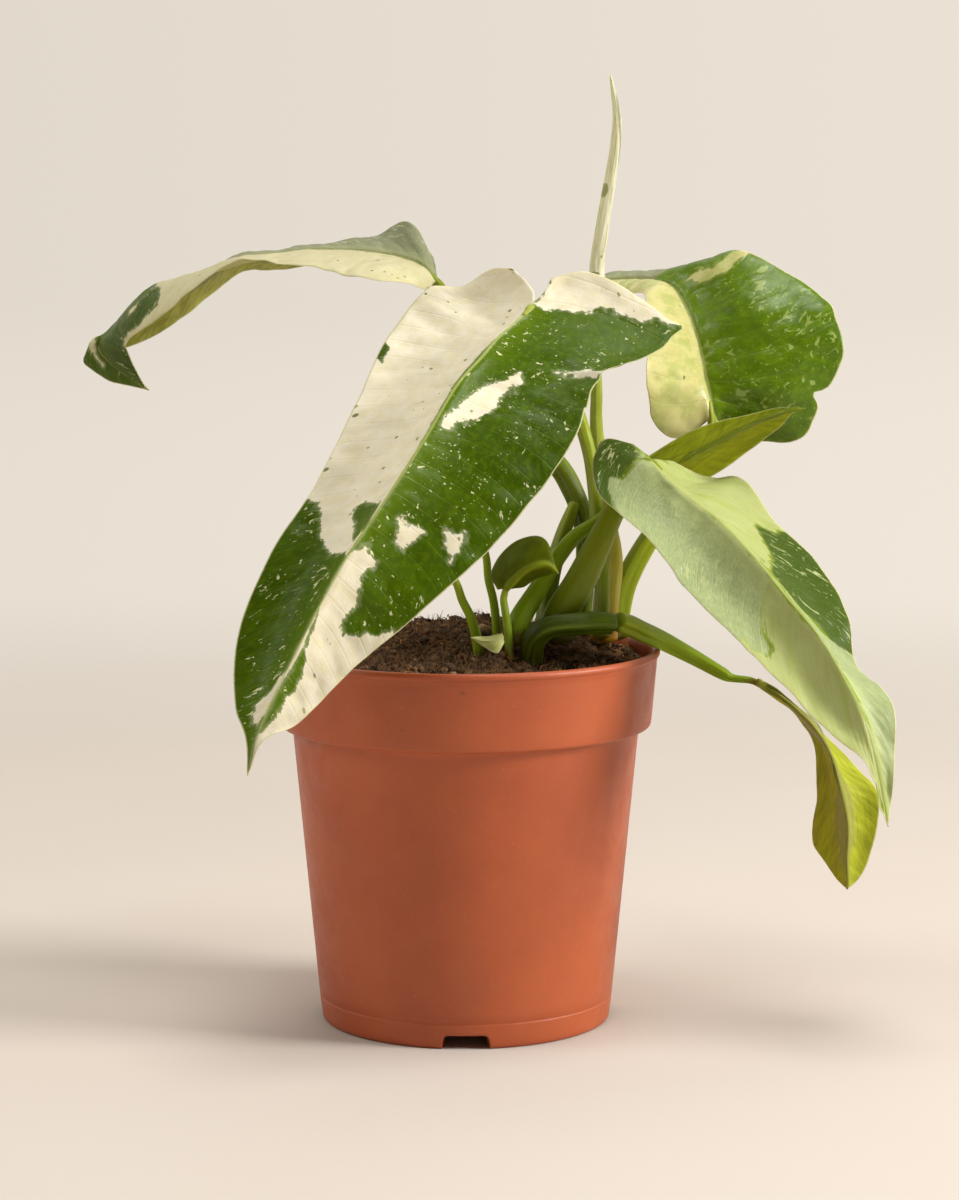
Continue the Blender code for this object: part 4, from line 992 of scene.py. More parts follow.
def stalk_piece(name, points, node, mat, foot=None, head=None, shape="channel",
                channel_at=0.0, depth=0.20, ridge=0.07, wobble=0.10, seed=1, around=36, cell=0.9, sheath=0.0,
                twist=0.0, cap=0.45):
    """A stalk through (x, y, z, r) mm points; foot and head are extra points
    that carry it into the soil and under its blade."""
    pts = [tuple(p) for p in points]
    if foot is not None:
        pts = foot + pts if foot and pts[0][2] < pts[-1][2] else pts + foot
    if head is not None:
        pts = pts + head if pts[0][2] < pts[-1][2] else head + pts
    arr = np.array(pts, float)
    fine = np.linspace(0, len(arr) - 1, 60 * len(arr))
    line = spline(arr[:, :3], fine)
    run = np.r_[0, np.cumsum(np.linalg.norm(np.diff(line, axis=0), axis=1))]
    count = max(10, int(run[-1] / cell))
    ts = np.interp(np.linspace(0, run[-1], count + 1), run, fine)
    s = np.linspace(0, run[-1], count + 1)
    c = spline(arr[:, :3], ts)
    r = np.maximum(spline(arr[:, 3:4], ts)[:, 0], 0.05)
    tan, side, other = tube_frames(c)
    th = np.linspace(0, 2 * math.pi, around, endpoint=False)
    S, TH = np.meshgrid(s, th, indexing="ij")
    R = np.repeat(r[:, None], around, axis=1)
    turn = channel_at + twist * S / run[-1]
    d = np.angle(np.exp(1j * (TH - turn)))
    body = R.copy()
    if shape == "channel":
        body *= 1 - depth * np.exp(-(d / 0.42) ** 2) + ridge * np.exp(-((np.abs(d) - 0.85) / 0.30) ** 2)
    elif shape == "double":
        body *= 1 - depth * np.exp(-(d / 0.30) ** 2) + ridge * np.exp(-((np.abs(d) - 0.62) / 0.34) ** 2)
    elif shape == "rolled":
        body *= 1.05 - 0.10 * ((d + math.pi) / (2 * math.pi)) - 0.0
    # a wrapped sheath near the foot: two overlapping edges
    if sheath > 0:
        low = smooth(sheath, 0.0, S if arr[0, 2] < arr[-1, 2] else run[-1] - S)
        lip = np.where(d > 0, 1.0, 0.0) * np.exp(-np.maximum(d, 0) / 0.6)
        body *= 1 + low * (0.16 * lip - 0.04)
    # long shallow flutes and slight lumps
    body *= 1 + 0.009 * np.sin(TH * 7 + 0.4 * np.sin(S / 9.0 + seed)) + 0.005 * np.sin(TH * 13 + seed)
    body *= 1 + wobble * 0.35 * waves(seed, S / 30.0, np.cos(TH), np.sin(TH), octaves=2)
    pos = c[:, None, :] + side[:, None, :] * (np.cos(TH) * body)[..., None] + other[:, None, :] * (np.sin(TH) * body)[..., None]
    n0 = count + 1
    verts = list(pos.reshape(-1, 3) * MM)
    faces = []
    for i in range(n0 - 1):
        for j in range(around):
            a = i * around + j
            b = i * around + (j + 1) % around
            faces.append((a, b, b + around, a + around))
    # rounded ends
    for end, ring, way in ((0, 0, -1), (1, n0 - 1, 1)):
        tip = c[ring] + tan[ring] * way * r[ring] * cap
        verts.append(tip * MM)
        k = len(verts) - 1
        for j in range(around):
            a = ring * around + j
            b = ring * around + (j + 1) % around
            faces.append((a, k, b) if end == 0 else (a, b, k))
    obj = new_mesh(name, verts, faces)
    mesh = obj.data
    rise = S if arr[0, 2] < arr[-1, 2] else run[-1] - S
    give(mesh, "rise", np.r_[rise.ravel(), rise.min(), rise.max()] if arr[0, 2] < arr[-1, 2]
         else np.r_[rise.ravel(), rise.max(), rise.min()])
    give(mesh, "rise_share", np.r_[rise.ravel(), 0, 0] / run[-1])
    skin = np.stack([np.cos(TH) * 6, np.sin(TH) * 6, S], axis=-1).reshape(-1, 3)
    give(mesh, "skin", np.concatenate([skin, [[0, 0, 0], [0, 0, run[-1]]]]), "FLOAT_VECTOR")
    give(mesh, "turn", np.r_[d.ravel(), 0, 0])
    bm = bmesh.new()
    bm.from_mesh(mesh)
    bmesh.ops.recalc_face_normals(bm, faces=bm.faces)
    bm.to_mesh(mesh)
    bm.free()
    mesh.shade_smooth()
    mesh.materials.append(mat)
    if node is not None:
        own(obj, node)
    return obj


def own(obj, node):
    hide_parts(node)
    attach(obj, "root")


def merged(objs, node):
    with bpy.context.temp_override(active_object=objs[0], object=objs[0], selected_objects=objs,
                                   selected_editable_objects=objs):
        bpy.ops.object.join()
    own(objs[0], node)
    return objs[0]


def stalk_material(name, low, mid, high, edge, rough=0.36, foot=None, foot_reach=8.0, streaks=0.3, through=0.18):
    m = Tree(name)
    share = m.attr("rise_share")
    skin = m.attr("skin", True)
    place = m.place()
    long = m.vec("MULTIPLY", skin, (0.5, 0.5, 0.045))
    base = m.mix(m.ramp(share, 0.05, 0.55), low, mid)
    base = m.mix(m.ramp(share, 0.5, 0.98), base, high)
    st = m.noise(long, 1.6, 4.0, 0.62)
    base = m.mix(m.ramp(st, 0.46, 0.70, 0.0, streaks), base, edge)
    st2 = m.noise(m.vec("MULTIPLY", skin, (0.9, 0.9, 0.06)), 1.9, 3.0, 0.6)
    shade = tuple(v * 0.62 for v in low[:3]) + (1.0,)
    base = m.mix(m.ramp(st2, 0.50, 0.74, 0.0, streaks * 0.9), base, shade)
    # paler ridges beside the channel
    ridge = m.math("ABSOLUTE", m.sub(m.math("ABSOLUTE", m.attr("turn")), 0.8))
    base = m.mix(m.ramp(ridge, 0.0, 0.30, 0.55, 0.0), base, edge)
    speck = m.noise(place, 1500.0, 2.0, 0.6)
    base = m.mix(m.ramp(speck, 0.60, 0.75, 0.0, 0.25), base, edge)
    if foot is not None:
        line = m.add(m.attr("rise"), m.mul(m.sub(st, 0.5), 10.0))
        base = m.mix(m.ramp(line, foot_reach * 0.35, foot_reach, 0.92, 0.0), base, foot)
    gloss = m.ramp(m.noise(place, 300.0, 3.0, 0.6), 0.3, 0.7, rough - 0.05, rough + 0.10)
    height = m.add(m.noise(m.vec("MULTIPLY", skin, (1.4, 1.4, 0.12)), 2.0, 3.0, 0.6), m.mul(speck, 0.4))
    normal = m.bump(height, 0.35, 0.00025)
    return m.surface(base, gloss, normal, specular=0.26, coat=0.0, coat_rough=0.25,
                     through=through, through_colour=m.mix(0.5, base, edge))


def toward(rows, r0, r1, t1=0.9, lift=0.0, top=1):
    """Points that carry a stalk a little way under the blade's midrib."""
    out = []
    for k, f in enumerate((0.3, 0.75, 1.0)):
        t = np.array([t1 * f])
        p = blade_point(rows, t, np.zeros(1))[0]
        a = blade_point(rows, t + 0.05, np.zeros(1))[0] - p
        b = blade_point(rows, t, np.array([0.05]))[0] - p
        c = blade_point(rows, t, np.array([-0.05]))[0] - p
        n = np.cross(a, b - c)
        n = n / (np.linalg.norm(n) + 1e-9) * top
        r = r0 + (r1 - r0) * (k + 1) / 3.0
        q = p + n * (r * 0.7 + lift)
        out.append((q[0], q[1], q[2], r))
    return out


BRIGHT = stalk_material("bright_stalk_skin", linear(126, 154, 4), linear(142, 170, 12), linear(168, 186, 40),
                        linear(172, 190, 52), foot=linear(112, 92, 20), foot_reach=5.0)
YELLOW = stalk_material("yellow_stalk_skin", linear(130, 150, 4), linear(152, 168, 14), linear(158, 168, 60),
                        linear(202, 206, 100), foot=linear(124, 116, 20), foot_reach=5.0)
OLIVE = stalk_material("olive_stalk_skin", linear(124, 138, 6), linear(140, 152, 14), linear(158, 168, 36),
                       linear(156, 168, 48), foot=linear(80, 70, 14), foot_reach=6.0)
DEEP = stalk_material("deep_stalk_skin", linear(92, 108, 2), linear(110, 126, 4), linear(138, 150, 22),
                      linear(132, 146, 36), foot=linear(78, 60, 14), foot_reach=6.0, streaks=0.4)
PALE = stalk_material("pale_stalk_skin", linear(178, 160, 50), linear(158, 170, 40), linear(160, 176, 66),
                      linear(204, 206, 120), foot=linear(172, 122, 28), foot_reach=13.0, streaks=0.35, through=0.25)

FOOT = 7.0


def sunk(points):
    """A stalk's foot continued downward into the soil."""
    low = points[0] if points[0][2] < points[-1][2] else points[-1]
    nxt = points[1] if points[0][2] < points[-1][2] else points[-2]
    d = np.array(low[:3]) - np.array(nxt[:3])
    d = d / np.linalg.norm(d)
    d = d * 0.5 + np.array([0, 0, -0.75])
    q = np.array(low[:3]) + d / np.linalg.norm(d) * FOOT
    return [(q[0], q[1], q[2], low[3] * 1.06)]


stalk_piece("front_stalk_skin", FRONT_PETIOLE, "front_leaf_petiole", YELLOW, foot=sunk(FRONT_PETIOLE),
            head=toward(FRONT, 1.5, 0.8, 1.4, top=-1)[::-1], channel_at=2.6, seed=1, sheath=10)
SIDE_SHOOT = [(34.0, 14.5, 159.0, 1.7), (30.8, 12.0, 151.0, 2.3), (27.6, 9.0, 141.0, 2.7), (25.6, 5.0, 132.0, 2.9),
              (24.6, 2.5, 121.0, 3.1)]
merged([stalk_piece("left_stalk_skin", LEFT_PETIOLE, None, DEEP, foot=sunk(LEFT_PETIOLE),
                    head=toward(LEFT, 1.6, 0.8, 1.6, top=1)[::-1], channel_at=0.5, depth=0.26, ridge=0.10, seed=2,
                    sheath=14),
        stalk_piece("left_side_shoot", SIDE_SHOOT, None, DEEP, foot=sunk(SIDE_SHOOT), channel_at=1.2, seed=22)],
       "left_leaf_petiole")
stalk_piece("upper_right_stalk_skin", UPPER_PETIOLE, "upper_right_leaf_petiole", OLIVE,
            foot=sunk(UPPER_PETIOLE), head=toward(UPPER, 1.4, 0.7, 1.2, top=1)[::-1], channel_at=-0.5, seed=3, sheath=14)
stalk_piece("mid_right_stalk_skin", MID_PETIOLE, "mid_right_leaf_petiole", BRIGHT, foot=sunk(MID_PETIOLE),
            head=toward(MID, 1.3, 0.7, 1.0, top=-1)[::-1], channel_at=2.4, seed=4, sheath=12)
stalk_piece("right_front_stalk_skin", RIGHT_PETIOLE, "right_front_leaf_petiole", OLIVE,
            foot=sunk(RIGHT_PETIOLE), head=toward(RIGHT, 1.4, 0.8, 1.0, top=-1)[::-1], channel_at=0.6, seed=5, sheath=16)
# the drooping leaf's stalk is cracked across just outside the clump
INNER_STUMP = [(19.6, -17.0, 110.5, 3.5), (19.8, -19.4, 116.5, 3.6), (21.2, -22.0, 121.8, 3.5), (25.6, -23.4, 125.2, 3.3), (34.5, -22.0, 126.0, 3.45), (40.5, -19.0, 125.9, 3.35),
               (44.4, -16.5, 125.3, 3.15)]
OUTER_LENGTH = [(46.3, -15.2, 125.7, 2.95), (50.0, -12.2, 124.1, 3.2), (53.5, -10.0, 122.2, 3.15),
                (60.5, -5.0, 118.5, 2.9), (70.5, -4.0, 113.0, 2.4), (79.3, -5.8, 108.2, 1.9), (82.2, -6.4, 107.0, 1.25),
                (87.5, -7.5, 106.5, 1.05), (90.6, -8.6, 105.4, 0.95)]
STUMP = stalk_material("stump_stalk_skin", linear(64, 66, 6), linear(62, 76, 4), linear(88, 112, 10),
                       linear(120, 142, 30), streaks=0.4)
merged([stalk_piece("drooping_stalk_skin", OUTER_LENGTH, None, BRIGHT, shape="double", channel_at=0.35, depth=0.26,
                    ridge=0.12, seed=6, cap=0.05),
        stalk_piece("drooping_stump", INNER_STUMP, None, STUMP, shape="double", channel_at=0.5, depth=0.16,
                    ridge=0.05, seed=26, cap=0.05)], "drooping_leaf_petiole")
stalk_piece("baby_stalk_skin", BABY_PETIOLE, "baby_leaf_petiole", BRIGHT, foot=sunk(BABY_PETIOLE), head=[(12.4, -19.6, 137.4, 0.85)],
            channel_at=1.0, seed=7, around=24, cell=0.6)
stalk_piece("young_left_stalk_skin", STALK_S1, "young_stalk_left", BRIGHT, foot=sunk(STALK_S1),
            channel_at=2.0, seed=8, around=24, cell=0.6)
stalk_piece("young_right_stalk_skin", STALK_S2, "young_stalk_right", BRIGHT, foot=sunk(STALK_S2),
            channel_at=2.0, seed=9, around=24, cell=0.6)
stalk_piece("spear_stalk_skin", [(40.4, 6.8, 229.0, 1.45)] + SPEAR_STALK[1:], "spear_stalk", PALE, foot=sunk(SPEAR_STALK),
            head=[(40.5, 7.0, 232.0, 1.2)], channel_at=0.9, depth=0.16, seed=10, sheath=18)

# ------------------------------------------------------------- rolled new leaf
def spear_material():
    m = Tree("spear_leaf_skin")
    skin = m.attr("skin", True)
    place = m.place()
    share = m.attr("rise_share")
    base = m.mix(m.ramp(m.noise(m.vec("MULTIPLY", skin, (0.35, 0.35, 0.05)), 1.3, 3.0, 0.6), 0.36, 0.66),
                 linear(240, 236, 214), linear(222, 222, 184))
    dark = m.ramp(m.noise(m.vec("MULTIPLY", skin, (0.55, 0.55, 0.045)), 1.7, 4.0, 0.66), 0.53, 0.62)
    base = m.mix(m.mul(dark, 0.75), base, linear(128, 138, 78))
    fleck = m.ramp(m.noise(m.vec("MULTIPLY", skin, (1.6, 1.6, 0.20)), 1.8, 3.0, 0.6), 0.60, 0.70)
    base = m.mix(m.mul(fleck, 0.8), base, linear(150, 160, 96))
    # one green patch on the side, a small brown mark near the foot and a painted shadow: the dark line where the rolled
    # margin shades the blade
    px, py, pz = m.red(place)
    for x0, z0, wide, tall, lean, tone in ((42.2, 256.0, 1.2, 2.1, 0.16, linear(96, 110, 30)),
                                           (41.6, 235.8, 0.32, 0.42, 0.0, linear(124, 112, 60)),
                                           (39.4, 230.6, 1.7, 0.55, 0.0, linear(120, 112, 62))):
        up = m.mul(m.sub(pz, z0 * MM), 1.0 / (tall * MM))
        over = m.mul(m.sub(m.sub(px, x0 * MM), m.mul(m.sub(pz, z0 * MM), lean)), 1.0 / (wide * MM))
        blot = m.add(m.add(m.mul(up, up), m.mul(over, over)), m.mul(m.sub(dark, 0.5), 0.3))
        base = m.mix(m.ramp(blot, 0.65, 1.25, 0.85, 0.0), base, tone)
    # painted shadow: a thin dark line just inside the right edge, where the rolled margin shades the blade
    rise = m.mul(m.sub(pz, 274.0 * MM), 1.0 / MM)
    shadow_line_x = m.sub(m.sub(47.0, m.mul(rise, 0.0417)), m.mul(m.mul(rise, rise), 0.00625))
    off = m.math("ABSOLUTE", m.sub(m.mul(px, 1.0 / MM), shadow_line_x))
    ragged = m.noise(m.vec("MULTIPLY", skin, (0.8, 0.8, 0.5)), 1.0, 3.0, 0.6)
    rolled = m.mul(m.ramp(m.add(off, m.mul(m.sub(ragged, 0.5), 0.9)), 0.16, 0.42, 0.85, 0.0),
                   m.ramp(m.math("ABSOLUTE", rise), 10.0, 13.0, 1.0, 0.0))
    base = m.mix(rolled, base, linear(112, 118, 84))
    seam = m.ramp(m.math("ABSOLUTE", m.sub(m.attr("turn"), 3.05)), 0.0, 0.35, 1.0, 0.0)
    base = m.mix(m.mul(seam, 0.6), base, linear(206, 206, 150))
    base = m.mix(m.ramp(share, 0.86, 1.0, 0.0, 0.6), base, linear(206, 206, 150))
    gloss = m.ramp(m.noise(place, 320.0, 3.0, 0.6), 0.3, 0.7, 0.34, 0.48)
    height = m.noise(m.vec("MULTIPLY", skin, (1.8, 1.8, 0.12)), 2.0, 3.0, 0.6)
    return m.surface(base, gloss, m.bump(height, 0.4, 0.00025), coat=0.1, through=0.3,
                     through_colour=linear(226, 222, 160))


stalk_piece("spear_leaf_skin", SPEAR_LEAF, "spear_leaf", spear_material(),
            shape="rolled", channel_at=-1.25, wobble=0.22, seed=12, around=60, cell=0.6, twist=0.9,
            foot=[(40.2, 7.0, 222.0, 2.35), (40.4, 6.8, 228.6, 2.5)])

# ====================================================================== soil
def soil_level(x, y):
    d2 = (x - SOIL_CROWN_X) ** 2 + (y - SOIL_CROWN_Y) ** 2
    return POT_HEIGHT - SOIL_EDGE_BELOW_RIM + SOIL_CROWN * np.exp(-d2 / (2 * SOIL_CROWN_SPREAD ** 2))


def soil_piece():
    rng = np.random.default_rng(77)
    lo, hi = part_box("soil")
    reach = (hi[0] - lo[0]) / 2 / MM
    foot_z = lo[2] / MM
    verts, faces, kind, tone = [], [], [], []
    rings, spokes = 84, 264
    rad = reach * np.linspace(0, 1, rings + 1) ** 0.9
    verts.append((0, 0, 0))
    for r in rad[1:]:
        for k in range(spokes):
            a = 2 * math.pi * k / spokes
            verts.append((r * math.cos(a), r * math.sin(a), 0))
    top = np.array(verts, float)
    x, y = top[:, 0], top[:, 1]
    z = soil_level(x, y) - 1.0
    z = z + 1.5 * waves(1, x, y, scale=19.0, octaves=2) + 1.0 * waves(2, x, y, scale=6.0, octaves=3)
    grit = np.array([noise.noise(Vector((a * 0.9, b * 0.9, 3.1))) + 0.7 * noise.noise(Vector((a * 2.1, b * 2.1, 9.7)))
                     for a, b in zip(x, y)])
    z = z + 1.15 * grit
    # the peat is banked up toward the back left
    z = z + 3.6 * np.exp(-((x + 20.0) ** 2 / (2 * 19.0 ** 2) + (y - 37.0) ** 2 / (2 * 9.0 ** 2)))
    r = np.hypot(x, y)
    z = z - 1.6 * smooth(reach - 5, reach, r)
    top[:, 2] = z
    verts = [tuple(v) for v in top]
    for k in range(spokes):
        faces.append((0, 1 + k, 1 + (k + 1) % spokes))
    for i in range(rings - 1):
        for k in range(spokes):
            a = 1 + i * spokes + k
            b = 1 + i * spokes + (k + 1) % spokes
            faces.append((a, a + spokes, b + spokes, b))
    # the root ball's side and underside, down inside the pot
    wall_r = np.linspace(reach, reach * 0.84, 9)
    wall_z = np.linspace(float(z[-1]) - 3, foot_z + 0.4, 9)
    start = 1 + (rings - 1) * spokes
    prev = start
    for wr, wz in zip(wall_r, wall_z):
        first = len(verts)
        for k in range(spokes):
            a = 2 * math.pi * k / spokes
            jig = 0.25 * math.sin(k * 1.7 + wz) + 0.2 * math.sin(k * 0.6 + wz * 2)
            cut = reach - (reach - wr)
            cut = min(cut, (44.0 - 1.2 - 1.0 + (53.6 - 44.9) * max(0.0, wz - 6) / 86.0))
            verts.append(((cut + jig * 0.3) * math.cos(a), (cut + jig * 0.3) * math.sin(a), wz))
        for k in range(spokes):
            a, b = prev + k, prev + (k + 1) % spokes
            c, d = first + k, first + (k + 1) % spokes
            faces.append((a, c, d, b))
        prev = first
    verts.append((0, 0, foot_z + 0.4))
    for k in range(spokes):
        faces.append((prev + k, len(verts) - 1, prev + (k + 1) % spokes))
    kind += [0.0] * len(verts)
    tone += list(0.5 + 0.5 * np.sin(np.arange(len(verts)) * 0.0))

    def level(px, py):
        # nearest top vertex height
        rr = math.hypot(px, py)
        i = int(np.clip(np.searchsorted(rad, rr) - 1, 0, rings - 1))
        k = int(round(math.atan2(py, px) / (2 * math.pi) * spokes)) % spokes
        return verts[1 + i * spokes + k][2]

    ico = bmesh.new()
    bmesh.ops.create_icosphere(ico, subdivisions=1, radius=1.0)
    ball = np.array([v.co for v in ico.verts])
    ball_faces = [[v.index for v in f.verts] for f in ico.faces]
    ico.free()

    def scatter():
        while True:
            px, py = rng.uniform(-reach, reach, 2)
            if math.hypot(px, py) < reach - 2.0:
                return px, py

    # crumbs of peat, bark and a little pale grit
    for _ in range(1150):
        px, py = scatter()
        size = rng.choice([0.55, 0.8, 1.2, 1.9], p=[0.45, 0.32, 0.17, 0.06]) * rng.uniform(0.7, 1.25)
        scale = np.array([rng.uniform(0.7, 1.5), rng.uniform(0.6, 1.1), rng.uniform(0.45, 0.9)]) * size
        turn = Matrix.Rotation(rng.uniform(0, 6.28), 3, "Z") @ Matrix.Rotation(rng.uniform(-0.6, 0.6), 3, "X")
        pts = ball * scale * (1 + 0.28 * rng.uniform(-1, 1, (len(ball), 1)))
        pts = pts @ np.array(turn).T
        base = len(verts)
        h = level(px, py) + scale[2] * rng.uniform(0.0, 0.6)
        verts += [(px + p[0], py + p[1], h + p[2]) for p in pts]
        faces += [tuple(base + i for i in f) for f in ball_faces]
        kind += [1.0] * len(pts)
        tone += [float(rng.uniform(0, 1))] * len(pts)

    def thread(path, radius, t, k=3.0, sides=4):
        path = np.array(path)
        tan, side, other = tube_frames(path)
        base = len(verts)
        for i in range(len(path)):
            rr = radius * (1 - 0.75 * i / (len(path) - 1))
            for j in range(sides):
                a = 2 * math.pi * j / sides
                v = path[i] + side[i] * math.cos(a) * rr + other[i] * math.sin(a) * rr
                verts.append(tuple(v))
        for i in range(len(path) - 1):
            for j in range(sides):
                a = base + i * sides + j
                b = base + i * sides + (j + 1) % sides
                faces.append((a, b, b + sides, a + sides))
        faces.append(tuple(base + j for j in range(sides))[::-1])
        faces.append(tuple(base + (len(path) - 1) * sides + j for j in range(sides)))
        kind.extend([k] * (sides * len(path)))
        tone.extend([float(t)] * (sides * len(path)))

    # long fibres lying over the peat
    for _ in range(460):
        px, py = scatter()
        a = rng.uniform(0, 6.28)
        bend = rng.uniform(-0.5, 0.5)
        size = rng.uniform(3.0, 11.0)
        steps = 7
        path = []
        lift = rng.uniform(0.1, 1.0)
        for i in range(steps):
            f = i / (steps - 1)
            qx = px + math.cos(a + bend * f * 2) * size * f
            qy = py + math.sin(a + bend * f * 2) * size * f
            if math.hypot(qx, qy) > reach - 1.2:
                qx, qy = qx * (reach - 1.2) / math.hypot(qx, qy), qy * (reach - 1.2) / math.hypot(qx, qy)
            path.append((qx, qy, level(qx, qy) + 0.25 + lift * math.sin(math.pi * f) * 1.5))
        thread(path, rng.uniform(0.12, 0.32), rng.uniform(0, 1), 2.0)
    # moss-like hairs standing up, thicker around the stalks
    for _ in range(2800):
        if rng.uniform() < 0.6:
            px = rng.normal(10, 20)
            py = rng.normal(0, 20)
            if math.hypot(px, py) > reach - 2:
                continue
        else:
            px, py = scatter()
        a = rng.uniform(0, 6.28)
        size = rng.uniform(1.0, 3.4)
        lean = rng.uniform(0.2, 1.0)
        z0 = level(px, py) - 0.2
        path = [(px + math.cos(a) * lean * size * f ** 1.4 * 0.6, py + math.sin(a) * lean * size * f ** 1.4 * 0.6,
                 z0 + size * f) for f in (0.0, 0.35, 0.7, 1.0)]
        thread(path, rng.uniform(0.07, 0.14), rng.uniform(0, 1), 3.0, sides=3)
    obj = new_mesh("soil_skin", np.array(verts) * MM, faces)
    mesh = obj.data
    give(mesh, "kind", kind)
    give(mesh, "tone", tone)
    m = Tree("peat")
    place = m.place()
    kind_a, tone_a = m.attr("kind"), m.attr("tone")
    n1 = m.noise(place, 420.0, 5.0, 0.7)
    n2 = m.noise(place, 60.0, 3.0, 0.6)
    peat = m.mix(m.ramp(n1, 0.36, 0.68), linear(40, 27, 17), linear(126, 90, 58))
    peat = m.mix(m.ramp(n2, 0.50, 0.75, 0.0, 0.6), peat, linear(76, 50, 29))
    crumb = m.mix(m.ramp(tone_a, 0.0, 0.8), linear(44, 30, 20), linear(134, 98, 64))
    crumb = m.mix(m.ramp(tone_a, 0.93, 0.97), crumb, linear(150, 120, 84))
    crumb = m.mix(m.ramp(n1, 0.4, 0.7, 0.0, 0.5), crumb, linear(26, 15, 9))
    fibre = m.mix(m.ramp(tone_a, 0.1, 1.0), linear(52, 32, 18), linear(156, 108, 64))
    hair = m.mix(m.ramp(tone_a, 0.0, 1.0), linear(66, 52, 28), linear(134, 110, 66))
    colour = m.mix(m.ramp(kind_a, 0.4, 0.6), peat, crumb)
    colour = m.mix(m.ramp(kind_a, 1.4, 1.6), colour, fibre)
    colour = m.mix(m.ramp(kind_a, 2.4, 2.6), colour, hair)
    rough = m.ramp(n1, 0.3, 0.7, 0.82, 0.96)
    height = m.add(n1, m.mul(m.noise(place, 1500.0, 3.0, 0.7), 0.5))
    m.surface(colour, rough, m.bump(height, 0.8, 0.0007), specular=0.25)
    mesh.materials.append(m.mat)
    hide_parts("soil")
    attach(obj, "root")
    return obj


soil_piece()

# ======================================================================= pot
FOOT_NOTCHES = (-90.0, 0.0, 90.0, 180.0)
NOTCH_HALF = 7.4
NOTCH_RISE = 4.1


